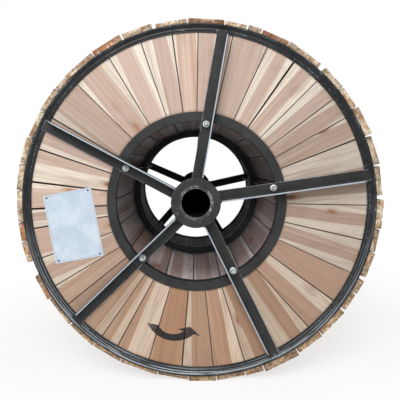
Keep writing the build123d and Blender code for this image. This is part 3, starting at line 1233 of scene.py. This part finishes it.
def turned_rod(node):
    """One rod, turned about its own line."""
    low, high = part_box(node)
    centre = (low + high) / 2
    radius = (high.x - low.x) / 2
    mesh = bmesh.new()
    rings = []
    for r, level in rod_outline(radius, low.y, high.y):
        ring = []
        for step in range(rod_steps):
            angle = math.tau * step / rod_steps
            place = (centre.x + r * math.cos(angle), level, centre.z + r * math.sin(angle))
            ring.append(mesh.verts.new(place))
        rings.append(ring)
    join_rows(mesh, rings)
    mesh.faces.new(rings[0])
    mesh.faces.new(rings[-1][::-1])
    return keep(mesh, node + "_threaded", node, [rod_zinc])


rods = [turned_rod(node) for node in sorted(n for n in nodes if n.startswith("tie_rod"))]
print(len(rods), "rods threaded")

# %% Nodes that set a piece on every point
def new_tree(name, sockets):
    """An empty geometry tree with a mesh going in and coming out, and named inputs."""
    tree = bpy.data.node_groups.new(name, "GeometryNodeTree")
    tree.interface.new_socket("Geometry", in_out="INPUT", socket_type="NodeSocketGeometry")
    for label, kind in sockets:
        tree.interface.new_socket(label, in_out="INPUT", socket_type=kind)
    tree.interface.new_socket("Geometry", in_out="OUTPUT", socket_type="NodeSocketGeometry")
    return tree, tree.nodes.new("NodeGroupInput"), tree.nodes.new("NodeGroupOutput")


def tree_node(tree, kind, inputs=(), **settings):
    """Add a node to a tree, set it up and feed its inputs."""
    made = tree.nodes.new(kind)
    for key, value in settings.items():
        setattr(made, key, value)
    for key, value in dict(inputs).items():
        if isinstance(value, bpy.types.NodeSocket):
            tree.links.new(value, made.inputs[key])
        else:
            made.inputs[key].default_value = value
    return made


def random_size(tree, start):
    """A size for each copy: one, give or take the tree's Size spread."""
    spread = start.outputs["Size spread"]
    least = tree_node(tree, "ShaderNodeMath", {0: 1.0, 1: spread}, operation="SUBTRACT")
    most = tree_node(tree, "ShaderNodeMath", {0: 1.0, 1: spread}, operation="ADD")
    size = tree_node(
        tree, "FunctionNodeRandomValue",
        {2: least.outputs[0], 3: most.outputs[0], "Seed": start.outputs["Seed"]},
    )
    return size.outputs[1]


def setting_tree():
    """Sets one small object on every point of a mesh, its height along the point's facing."""
    tree, start, end = new_tree(
        "set_on_points",
        (
            ("Piece", "NodeSocketObject"),
            ("Finish", "NodeSocketMaterial"),
            ("Size spread", "NodeSocketFloat"),
            ("Seed", "NodeSocketInt"),
        ),
    )
    facing = tree_node(
        tree, "GeometryNodeInputNamedAttribute", {"Name": "facing"}, data_type="FLOAT_VECTOR"
    )
    upright = tree_node(
        tree, "FunctionNodeAlignRotationToVector", {"Vector": facing.outputs[0]}, axis="Z"
    )
    turn = tree_node(
        tree, "FunctionNodeRandomValue",
        {2: 0.0, 3: math.tau, "Seed": start.outputs["Seed"]},
    )
    about = tree_node(tree, "ShaderNodeCombineXYZ", {2: turn.outputs[1]})
    spun = tree_node(
        tree, "FunctionNodeRotateRotation",
        {"Rotation": upright.outputs[0], "Rotate By": about.outputs[0]}, rotation_space="LOCAL",
    )
    shape = tree_node(tree, "GeometryNodeObjectInfo", {"Object": start.outputs["Piece"]})
    points = tree_node(
        tree, "GeometryNodeInstanceOnPoints",
        {
            "Points": start.outputs["Geometry"],
            "Instance": shape.outputs["Geometry"],
            "Rotation": spun.outputs[0],
            "Scale": random_size(tree, start),
        },
    )
    real = tree_node(tree, "GeometryNodeRealizeInstances", {0: points.outputs[0]})
    finish = tree_node(
        tree, "GeometryNodeSetMaterial",
        {"Geometry": real.outputs[0], "Material": start.outputs["Finish"]},
    )
    tree.links.new(finish.outputs[0], end.inputs[0])
    return tree


def through_nodes(name, points, tree, values):
    """Run a tree on a mesh and return the plain mesh that it makes."""
    holder = bpy.data.objects.new(name, points)
    bpy.context.scene.collection.objects.link(holder)
    modifier = holder.modifiers.new("nodes", "NODES")
    modifier.node_group = tree
    identifiers = {item.name: item.identifier for item in tree.interface.items_tree}
    for label, value in values.items():
        modifier[identifiers[label]] = value
    bpy.context.view_layer.update()
    evaluated = holder.evaluated_get(bpy.context.evaluated_depsgraph_get())
    result = bpy.data.meshes.new_from_object(evaluated)
    bpy.data.objects.remove(holder)
    result.name = name
    return result


def points_mesh(name, places, facings):
    """Loose points that each know which way they face."""
    mesh = bpy.data.meshes.new(name)
    mesh.from_pydata([tuple(place) for place in places], [], [])
    layer = mesh.attributes.new("facing", "FLOAT_VECTOR", "POINT")
    for item, direction in zip(layer.data, facings):
        item.vector = direction
    return mesh


set_on_points = setting_tree()
print("The setting tree has", len(set_on_points.nodes), "nodes")

# %% Nuts and washers on every rod end
nut_steps = 36
washer_steps = 32


def keep_mesh(mesh, name, nodes_replaced):
    """Make a piece of a mesh that already has its materials."""
    piece = bpy.data.objects.new(name, mesh)
    bpy.context.scene.collection.objects.link(piece)
    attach(piece, "root")
    if nodes_replaced:
        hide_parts(*nodes_replaced)
    return piece


def pattern(name, mesh):
    """A hidden object that a tree can copy from. It is removed once the copies are made."""
    data = bpy.data.meshes.new(name)
    bmesh.ops.recalc_face_normals(mesh, faces=mesh.faces[:])
    mesh.to_mesh(data)
    mesh.free()
    shape = bpy.data.objects.new(name, data)
    return shape


def circle(radius, level, steps):
    """Points of a circle about Z."""
    turns = [math.tau * step / steps for step in range(steps)]
    return [(radius * math.cos(turn), radius * math.sin(turn), level) for turn in turns]


def hollow(rows):
    """A mesh about an axis whose last row of points meets its first one again."""
    mesh = bmesh.new()
    rings = [[mesh.verts.new(point) for point in row] for row in rows]
    join_rows(mesh, rings + rings[:1], smooth=False)
    return mesh


def nut_shape(flat, bore, height):
    """A hexagon nut about Z, its base at the origin and its corners chamfered at 30 degrees."""
    rows = []
    chamfer = math.tan(math.radians(30))
    face_circle = flat / 2 * 0.95
    for kind in ("bore_low", "face_low", "low", "high", "face_high", "bore_high"):
        row = []
        for step in range(nut_steps):
            angle = math.tau * step / nut_steps
            hexagon = flat / 2 / math.cos((angle + math.pi / 6) % (math.pi / 3) - math.pi / 6)
            drop = (hexagon - face_circle) * chamfer
            radius, level = {
                "bore_low": (bore, 0.0),
                "face_low": (face_circle, 0.0),
                "low": (hexagon, drop),
                "high": (hexagon, height - drop),
                "face_high": (face_circle, height),
                "bore_high": (bore, height),
            }[kind]
            row.append((radius * math.cos(angle), radius * math.sin(angle), level))
        rows.append(row)
    mesh = hollow(rows)
    thread = mesh.verts.layers.float.new("thread")
    for vert in mesh.verts:
        vert[thread] = 1.0 if vert.co.xy.length < bore * 1.01 else 0.0
    return pattern("nut", mesh)


def washer_shape(outer, bore, height):
    """A flat washer about Z with its rim a little rounded by the punch."""
    punched = (outer - height * 0.25, height)
    section = ((bore, 0), (outer, 0), (outer, height * 0.7), punched, (bore, height))
    mesh = hollow([circle(radius, level, washer_steps) for radius, level in section])
    return pattern("washer", mesh)


def set_fasteners(kind, shape_of, plating):
    """Replace a flange's nuts or washers with detailed ones at the same places."""
    for side, outward in (("front", -1), ("rear", 1)):
        node = f"{side}_{kind}"
        corners = solids_of(node)[0]
        centre = middle_of(corners)
        low, high = span(corner.y * outward for corner in corners)
        ring = sorted((corner - Vector((centre.x, corner.y, centre.z))).length for corner in corners)
        shape = shape_of(ring, high - low)
        places = [Vector((c.x, low * outward, c.z)) for c in solid_centres(node)]
        facings = [drum_axis * outward] * len(places)
        points = points_mesh(node + "_points", places, facings)
        mesh = through_nodes(
            node + "_set", points, set_on_points,
            {"Piece": shape, "Finish": plating, "Size spread": 0.0, "Seed": 3},
        )
        bpy.data.objects.remove(shape)
        keep_mesh(mesh, node + "_set", [node])


def nut_from(ring, height):
    """A nut whose corners and bore lie where the solid's do."""
    return nut_shape(ring[-1] * math.sqrt(3), ring[0], height)


def washer_from(ring, height):
    """A washer as wide as the solid, with the same bore."""
    return washer_shape(ring[-1], ring[0], height)


set_fasteners("nuts", nut_from, nut_zinc)
set_fasteners("washers", washer_from, washer_zinc)
print("Nuts and washers set on", len(rods), "rods a side")

# %% [markdown]
# ## Nails
#
# The battens are nailed to the edges of the boards, two nails across each end. Only the heads
# show: thin flat discs, rusty, driven level with the wood. Their places follow from each
# batten's own solid, and the tree that set the nuts sets them too.

# %% Two nail heads across each end of every batten
nail_radius = 0.0045
nail_height = 0.002
nail_level = 0.5225
nail_share = 0.56


def head_shape(name, radius, height, around=10):
    """A low round head about Z, closed, with its edge a little rounded."""
    section = ((radius, 0.0), (radius, height * 0.6), (radius * 0.75, height))
    mesh = bmesh.new()
    rings = [[mesh.verts.new(point) for point in circle(*ring, around)] for ring in section]
    join_rows(mesh, rings, smooth=False)
    mesh.faces.new(rings[0][::-1])
    mesh.faces.new(rings[-1])
    return pattern(name, mesh)


def rusty_steel(name, dark, rust):
    """Plain steel gone dark and brown in the weather."""
    steel = Finish(name)
    patches = steel.noise(steel.place(), 180.0, 3.0, 0.6)
    steel.relief(patches, 0.0002)
    return steel.finish(steel.blend(steel.step(patches, 0.42, 0.62), dark, rust), 0.7, 0.3)


def nail_places():
    """Where each nail head sits, and which way it faces."""
    places = []
    facings = []
    for node in lagging_nodes:
        for corners in solids_of(node):
            middle = middle_of(corners)
            through = Vector((middle.x, 0, middle.z)).normalized()
            across = through.cross(drum_axis)
            half = max(abs(corner.dot(across)) for corner in corners)
            top = max(corner.dot(through) for corner in corners)
            for level in (-nail_level, nail_level):
                for side in (-1, 1):
                    aside = across * side * nail_share * half
                    places.append(through * (top - nail_height * 1.1) + aside + drum_axis * level)
                    facings.append(through)
    return places, facings


def set_heads(name, shape, places, facings, finish):
    """Set one kind of small head at each place and keep them as one piece."""
    points = points_mesh(name + "_points", places, facings)
    values = {"Piece": shape, "Finish": finish, "Size spread": 0.06, "Seed": 11}
    mesh = through_nodes(name, points, set_on_points, values)
    bpy.data.objects.remove(shape)
    return keep_mesh(mesh, name, [])


nail_steel = rusty_steel("nail_steel", linear(62, 56, 52), linear(112, 74, 50))
places, facings = nail_places()
nail_head = head_shape("nail_head", nail_radius, nail_height)
set_heads("lagging_nails", nail_head, places, facings, nail_steel)
print(len(places), "nail heads")

# %% [markdown]
# ## Weld beads
#
# The steel parts of a flange are welded by hand: round the tube where it comes through the hub
# plate, where each spoke's leg meets the plate and its web meets the tube, along the web where
# it crosses the inner ring, and round its end at the rim. A bead is a row of overlapping ripples.
# A tree turns each weld's path into evenly spaced points and sets a flattened blob on each.

# %% Nodes that lay a bead of ripples along a path
bead_radius = 0.0034
bead_spacing = 0.0024
bead_spread = 0.16


def bead_tree():
    """Ripples along every chain of edges that comes in."""
    tree, start, end = new_tree(
        "weld_bead",
        (
            ("Ripple", "NodeSocketObject"),
            ("Finish", "NodeSocketMaterial"),
            ("Spacing", "NodeSocketFloat"),
            ("Size spread", "NodeSocketFloat"),
            ("Seed", "NodeSocketInt"),
        ),
    )
    curve = tree_node(tree, "GeometryNodeMeshToCurve", {"Mesh": start.outputs["Geometry"]})
    even = tree_node(
        tree, "GeometryNodeResampleCurve",
        {"Curve": curve.outputs[0], "Length": start.outputs["Spacing"]}, mode="LENGTH",
    )
    run = tree_node(tree, "GeometryNodeInputTangent")
    lying = tree_node(tree, "FunctionNodeAlignRotationToVector", {"Vector": run.outputs[0]}, axis="Z")
    shape = tree_node(tree, "GeometryNodeObjectInfo", {"Object": start.outputs["Ripple"]})
    ripples = tree_node(
        tree, "GeometryNodeInstanceOnPoints",
        {
            "Points": even.outputs[0],
            "Instance": shape.outputs["Geometry"],
            "Rotation": lying.outputs[0],
            "Scale": random_size(tree, start),
        },
    )
    real = tree_node(tree, "GeometryNodeRealizeInstances", {0: ripples.outputs[0]})
    finish = tree_node(
        tree, "GeometryNodeSetMaterial",
        {"Geometry": real.outputs[0], "Material": start.outputs["Finish"]},
    )
    tree.links.new(finish.outputs[0], end.inputs[0])
    return tree


def ripple_shape():
    """A blob flattened along Z, the way the bead runs."""
    mesh = bmesh.new()
    edge_value = mesh.verts.layers.float.new("edge")
    bmesh.ops.create_uvsphere(mesh, u_segments=8, v_segments=4, radius=bead_radius)
    for vert in mesh.verts:
        vert.co.z *= 0.75
        vert[edge_value] = 0.55
    for face in mesh.faces:
        face.smooth = True
    return pattern("ripple", mesh)


def paths_mesh(name, paths):
    """Chains of edges. A path that ends where it starts is closed."""
    mesh = bmesh.new()
    for path in paths:
        closed = (path[0] - path[-1]).length < weld_distance
        verts = [mesh.verts.new(place) for place in (path[:-1] if closed else path)]
        for first, second in zip(verts, verts[1:] + (verts[:1] if closed else [])):
            mesh.edges.new((first, second))
    data = bpy.data.meshes.new(name)
    mesh.to_mesh(data)
    mesh.free()
    return data


lay_bead = bead_tree()
print("The bead tree has", len(lay_bead.nodes), "nodes")

# %% Where a flange is welded
tube_reach = 0.018
ring_overlap = 0.005
circle_steps = 96


def hub_path(outward):
    """The closed circle where the tube comes through the hub plate."""
    level = outward * (tube_end - bead_radius * (1 + bead_spread))
    radius = tube_outside + bead_radius * 0.25
    turns = [math.tau * step / circle_steps for step in range(circle_steps + 1)]
    return [Vector((radius * math.cos(t), level, radius * math.sin(t))) for t in turns]


def spoke_paths(node):
    """The welds of one spoke: at the plate, the tube, the inner ring and the rim."""
    along, across, outward, outline, reach, web_level = bar_section(node)
    side = node.split("_")[0]
    plate_radius = from_axis(side + "_hub_plate")[1]
    ring_inside, ring_out = from_axis(side + "_inner_ring")
    leg_tip = max(level for _, level in outline)
    web_sides = span(lateral for lateral, _ in outline)
    web_back = min(level for _, level in outline)
    leg_sides = span(lateral for lateral, level in outline if level > leg_tip - weld_distance)

    def at(distance, lateral, level):
        return along * distance + across * lateral + outward * level

    leg_middle = sum(leg_sides) / 2
    plate_edge = math.sqrt(plate_radius**2 - leg_middle**2) + bead_radius * 0.5
    tip_level = leg_tip + bead_radius * 0.4
    tube_sides = (max(web_sides[0], -tube_reach), min(web_sides[1], tube_reach))
    rim_level = web_level - bead_radius * 0.4
    paths = [
        [at(plate_edge, lateral, tip_level) for lateral in leg_sides],
        [at(reach[0], lateral, web_level) for lateral in tube_sides],
        [at(reach[1], lateral, rim_level) for lateral in web_sides],
    ]
    for lateral in web_sides:
        foot = web_back + bead_radius * 0.4
        paths.append([
            at(math.sqrt(radius**2 - lateral**2), lateral, foot)
            for radius in (ring_inside + ring_overlap, ring_out - ring_overlap)
        ])
        paths.append([at(reach[1] - back, lateral, foot) for back in (0.0, 0.016)])
    return paths


def weld(name, paths, finish):
    """Lay beads along some paths and keep them as one piece."""
    ripple = ripple_shape()
    values = {
        "Ripple": ripple, "Finish": finish, "Spacing": bead_spacing,
        "Size spread": bead_spread, "Seed": 5,
    }
    beads = through_nodes(name, paths_mesh(name + "_paths", paths), lay_bead, values)
    bpy.data.objects.remove(ripple)
    keep_mesh(beads, name, [])
    return len(beads.polygons)


for side, outward in (("front", -1), ("rear", 1)):
    joints = [path for node in spoke_nodes if node.startswith(side) for path in spoke_paths(node)]
    scraped = weld(side + "_hub_weld", [hub_path(outward)], weld_paint)
    painted = weld(side + "_spoke_welds", joints, charcoal)
    print(side, "welds:", 1 + len(joints), "paths,", scraped + painted, "faces")

# %% [markdown]
# ## The laminated sheet
#
# A packing sheet in clear film is tacked to the boards at its four corners. Film and paper
# don't lie quite flat, so the sheet is a thin slab whose front swells in soft wrinkles. It has
# a fine border and empty ruled lines. Each tack is a small black round head.

# %% Paper under film
border_inset = 0.0072
border_width = 0.0012
rule_spacing = 0.0165
rule_width = 0.0006
rules_from_side = 0.028
rules_fade = 0.001
paper_and_sheen_tones = (linear(178, 192, 206), linear(194, 205, 215))
film_tone = linear(186, 199, 210)
ink = linear(108, 130, 152)


def laminated_paper(half_across, half_along):
    """Cool white paper with a fine border and faint ruled lines, under a soft gloss, with painted
    reflections of its wrinkles.
    """
    sheet = Finish("laminated_paper")
    across, along, _ = sheet.split(sheet.add("ShaderNodeUVMap", uv_map="sheet").outputs[0])
    from_side = sheet.math("SUBTRACT", sheet.math("ABSOLUTE", across), half_across - border_inset)
    from_end = sheet.math("SUBTRACT", sheet.math("ABSOLUTE", along), half_along - border_inset)
    from_border = sheet.math("ABSOLUTE", sheet.math("MAXIMUM", from_side, from_end))
    border = sheet.step(from_border, border_width * 0.4, border_width * 0.7, 0.75, 0.0)
    row = sheet.math("PINGPONG", sheet.math("DIVIDE", across, rule_spacing), 0.5)
    ruled = sheet.step(row, rule_width / rule_spacing, 1.6 * rule_width / rule_spacing, 0.34, 0.0)

    def within(value, half):
        """1 where a value is well inside the sheet, which is where its rules end."""
        rules_end = half - rules_from_side
        return sheet.step(sheet.math("ABSOLUTE", value), rules_end - rules_fade, rules_end, 1.0, 0.0)

    inner = sheet.math("MULTIPLY", within(across, half_across), within(along, half_along))
    ruled = sheet.math("MULTIPLY", ruled, inner)
    # Painted reflections: soft cloudy patches stand for the light that the wrinkled film reflects.
    cloud = sheet.noise(sheet.vector(across, along, 0.0), 9.0, 3.0, 0.55)
    colour = sheet.blend(sheet.step(cloud, 0.40, 0.62), *paper_and_sheen_tones)
    film = sheet.step(sheet.math("MAXIMUM", from_side, from_end), 0.0, border_width)
    colour = sheet.blend(sheet.math("MULTIPLY", film, 0.5), colour, film_tone)
    colour = sheet.blend(sheet.math("MAXIMUM", border, ruled), colour, ink)
    return sheet.finish(colour, 0.34)


print("Rules on the sheet stand", round(1000 * rule_spacing, 1), "mm apart")

# %% The sheet's slab, and a tack at each corner
sheet_corner = 0.004
corner_steps = 3
sheet_cells = (40, 56)
wrinkle_height = 0.0012
tack_hold = 0.05
tack_insets = (0.016, 0.012)
tack_radius = 0.004
tack_height = 0.0016


def stations(half, cells):
    """Places from side to side, close together where the corners are round."""
    inner = half - sheet_corner
    steps = [inner + sheet_corner * (number + 1) / corner_steps for number in range(corner_steps)]
    middle = [inner * (2 * number / cells - 1) for number in range(cells + 1)]
    return [-place for place in reversed(steps)] + middle + steps


def rounded_place(x, y, half_x, half_y):
    """Pull a point of a rectangular grid in where the sheet's corner is round."""
    over_x = (abs(x) - half_x) / sheet_corner + 1
    over_y = (abs(y) - half_y) / sheet_corner + 1
    if over_x > 0 and over_y > 0:
        pull = max(over_x, over_y) / math.hypot(over_x, over_y)
        x = math.copysign(half_x + (over_x * pull - 1) * sheet_corner, x)
        y = math.copysign(half_y + (over_y * pull - 1) * sheet_corner, y)
    return x, y


def wrinkle(x, y, half_x, half_y):
    """How far the front swells out. The tacks hold the corners down."""
    broad = noise.noise(Vector((x * 11, y * 8, 3.1)))
    fine = noise.noise(Vector((x * 31, y * 24, 7.7)))
    swell = broad + 0.4 * fine
    held = min(1.0, math.hypot(abs(x) - half_x, abs(y) - half_y) / tack_hold)
    return wrinkle_height * held * min(1.0, max(0.0, 0.42 + 0.9 * swell))


def sheet_place(node):
    """The sheet's directions, its middle, its half sizes, and its front and back levels."""
    mesh = welded(node)
    mesh.normal_update()
    upright = [face for face in mesh.faces if abs(face.normal.y) < 0.01]
    across = max(upright, key=lambda face: face.calc_area()).normal.copy()
    along = across.cross(drum_axis)
    corners = [vert.co.copy() for vert in mesh.verts]
    mesh.free()
    breadth = span(corner.dot(across) for corner in corners)
    reach = span(corner.dot(along) for corner in corners)
    halves = ((breadth[1] - breadth[0]) / 2, (reach[1] - reach[0]) / 2)
    middle = across * sum(breadth) / 2 + along * sum(reach) / 2
    return across, along, middle, halves, span(corner.y for corner in corners)


def wrinkled_slab(across, along, middle, halves, levels):
    """A thin slab with round corners whose front swells, and a flat map of it in metres."""
    half_x, half_y = halves
    slab = bmesh.new()
    flat_map = slab.loops.layers.uv.new("sheet")
    sides = []
    for level, swells in zip(levels, (True, False)):
        rows = []
        for y in stations(half_y, sheet_cells[1]):
            row = []
            for x in stations(half_x, sheet_cells[0]):
                place = rounded_place(x, y, half_x, half_y)
                out = wrinkle(*place, half_x, half_y) if swells else 0.0
                point = middle + across * place[0] + along * place[1] + drum_axis * (level - out)
                row.append((slab.verts.new(point), place))
            rows.append(row)
        sides.append(rows)
    quads = []
    for rows in sides:
        for row, following in zip(rows, rows[1:]):
            for column in range(len(row) - 1):
                quads.append((row[column], row[column + 1], following[column + 1], following[column]))
    borders = []
    for rows in sides:
        edge = rows[0] + [row[-1] for row in rows[1:]]
        edge += rows[-1][-2::-1] + [row[0] for row in rows[-2:0:-1]]
        borders.append(edge)
    for number in range(len(borders[0])):
        after = (number + 1) % len(borders[0])
        quads.append((borders[0][number], borders[0][after], borders[1][after], borders[1][number]))
    for quad in quads:
        face = slab.faces.new([vert for vert, _ in quad])
        face.smooth = True
        for loop, (_, place) in zip(face.loops, quad):
            loop[flat_map].uv = place
    return slab


def packing_sheet(node):
    """The sheet itself, in place of its plain solid, and the tacks that hold it."""
    across, along, middle, halves, levels = sheet_place(node)
    slab = wrinkled_slab(across, along, middle, halves, levels)
    keep(slab, node + "_wrinkled", node, [laminated_paper(*halves)])

    tacks = [
        middle
        + across * side * (halves[0] - tack_insets[0])
        + along * end * (halves[1] - tack_insets[1])
        + drum_axis * levels[0]
        for side in (-1, 1)
        for end in (-1, 1)
    ]
    black = rusty_steel("black_tacks", linear(24, 28, 34), linear(40, 42, 46))
    shape = head_shape("tack", tack_radius, tack_height)
    set_heads("sheet_tacks", shape, tacks, [-drum_axis] * len(tacks), black)
    return halves


sheet_node = next(node for node in nodes if "sheet" in node)
print("The sheet is", [round(2000 * half) for half in packing_sheet(sheet_node)], "mm")

# %% [markdown]
# ## Floor and light
#
# The photograph is a cut-out on white, lit from above and in front by a broad soft source. The
# sky is white to the camera; to the drum it is a soft light that is strong above and in front
# and weak behind, so the barrel grows dark towards the rear. The floor is plain and pale. It
# keeps the drum's shadow near it and passes into the white of the sky farther out. The tube's
# bore looks on darkness, as in the photograph: a black card stands in it near the rear end.
# The card belongs to the studio, not to the drum, whose bore is open from end to end.

# %% The floor
floor_shadow = 0.30
shadow_ends = (0.95, 2.3)
floor_reach = 7
floor_finish = Finish("floor")
floor_finish.finish(linear(244, 244, 244), 0.9)
rays = floor_finish.add("ShaderNodeLightPath").outputs
seen = floor_finish.math("MAXIMUM", rays["Is Camera Ray"], rays["Is Glossy Ray"])
seen = floor_finish.math("MAXIMUM", seen, rays["Is Transmission Ray"])
white = floor_finish.add("ShaderNodeEmission", {"Color": (1, 1, 1, 1), "Strength": 1.0})
from_drum = floor_finish.length(floor_finish.place())
whiteness = floor_finish.step(from_drum, *shadow_ends, 1 - floor_shadow, 1.0)
mixed = floor_finish.add(
    "ShaderNodeMixShader",
    {
        0: floor_finish.math("MULTIPLY", seen, whiteness),
        1: floor_finish.shader.outputs[0],
        2: white.outputs[0],
    },
)
output = floor_finish.tree.nodes["Material Output"]
floor_finish.tree.links.new(mixed.outputs[0], output.inputs["Surface"])
floor_mesh = bpy.data.meshes.new("floor")
floor_mesh.from_pydata(
    [
        (x * floor_reach, y * floor_reach, floor_level)
        for x, y in ((-1, -1), (1, -1), (1, 1), (-1, 1))
    ],
    [],
    [(0, 1, 2, 3)],
)
floor_mesh.materials.append(floor_finish.material)
floor = bpy.data.objects.new("floor", floor_mesh)
bpy.context.scene.collection.objects.link(floor)
print("Floor at", round(floor_level, 4))

# %% A black card in the bore
card_inset = 0.15
card_points = 48
card_radius = bore_radius * 0.99
card_finish = Finish("black_card")
card_finish.give(card_finish.shader.inputs["Specular IOR Level"], 0.0)
card_finish.finish(linear(6, 6, 6), 1.0)
card_mesh = bpy.data.meshes.new("bore_card")
card_rim = circle(card_radius, tube_end - card_inset, card_points)
card_mesh.from_pydata([(x, level, z) for x, z, level in card_rim], [], [range(card_points)])
card_mesh.materials.append(card_finish.material)
bore_card = bpy.data.objects.new("bore_card", card_mesh)
bpy.context.scene.collection.objects.link(bore_card)
print("The card stands", round(1000 * card_inset), "mm inside the tube's rear end")

# %% The sky
sky_above = 0.95
sky_below = 0.22
sky_behind = 0.22
world = bpy.data.worlds.new("studio")
world.use_nodes = True
bpy.context.scene.world = world
sky = Nodes(world.node_tree)
direction = sky.add("ShaderNodeTexCoord").outputs["Generated"]
_, y, z = sky.split(direction)
light = sky.step(z, -0.3, 1.0, sky_below, sky_above)
light = sky.math("MULTIPLY", light, sky.step(y, -0.6, 0.9, 1.0, sky_behind))
path = sky.add("ShaderNodeLightPath").outputs
seen = sky.math("MAXIMUM", path["Is Camera Ray"], path["Is Transmission Ray"])
strength = sky.add("ShaderNodeMix", {0: seen, 2: light, 3: 1.0}).outputs[0]
sky.give(world.node_tree.nodes["Background"].inputs["Strength"], strength)
sky.give(world.node_tree.nodes["Background"].inputs["Color"], (1, 1, 1, 1))
print("The sky lights the drum at", sky_below, "from below and", sky_above, "from above")

# %% Two soft lamps
def soft_lamp(name, place, aim_at, size, watts):
    """A square soft box aimed at a point."""
    data = bpy.data.lights.new(name, "AREA")
    data.shape = "SQUARE"
    data.size = size
    data.energy = watts
    lamp = bpy.data.objects.new(name, data)
    lamp.location = place
    lamp.rotation_euler = (Vector(aim_at) - Vector(place)).to_track_quat("-Z", "Y").to_euler()
    bpy.context.scene.collection.objects.link(lamp)


soft_lamp("key", (-0.8, -4.4, 3.8), (0, -0.4, 0), 3.2, 250)
soft_lamp("back", (2.5, 4.5, 3.5), (0, 0.4, 0.6), 3.0, 40)
bpy.context.scene.view_settings.view_transform = "Standard"
print("Two lamps hung")
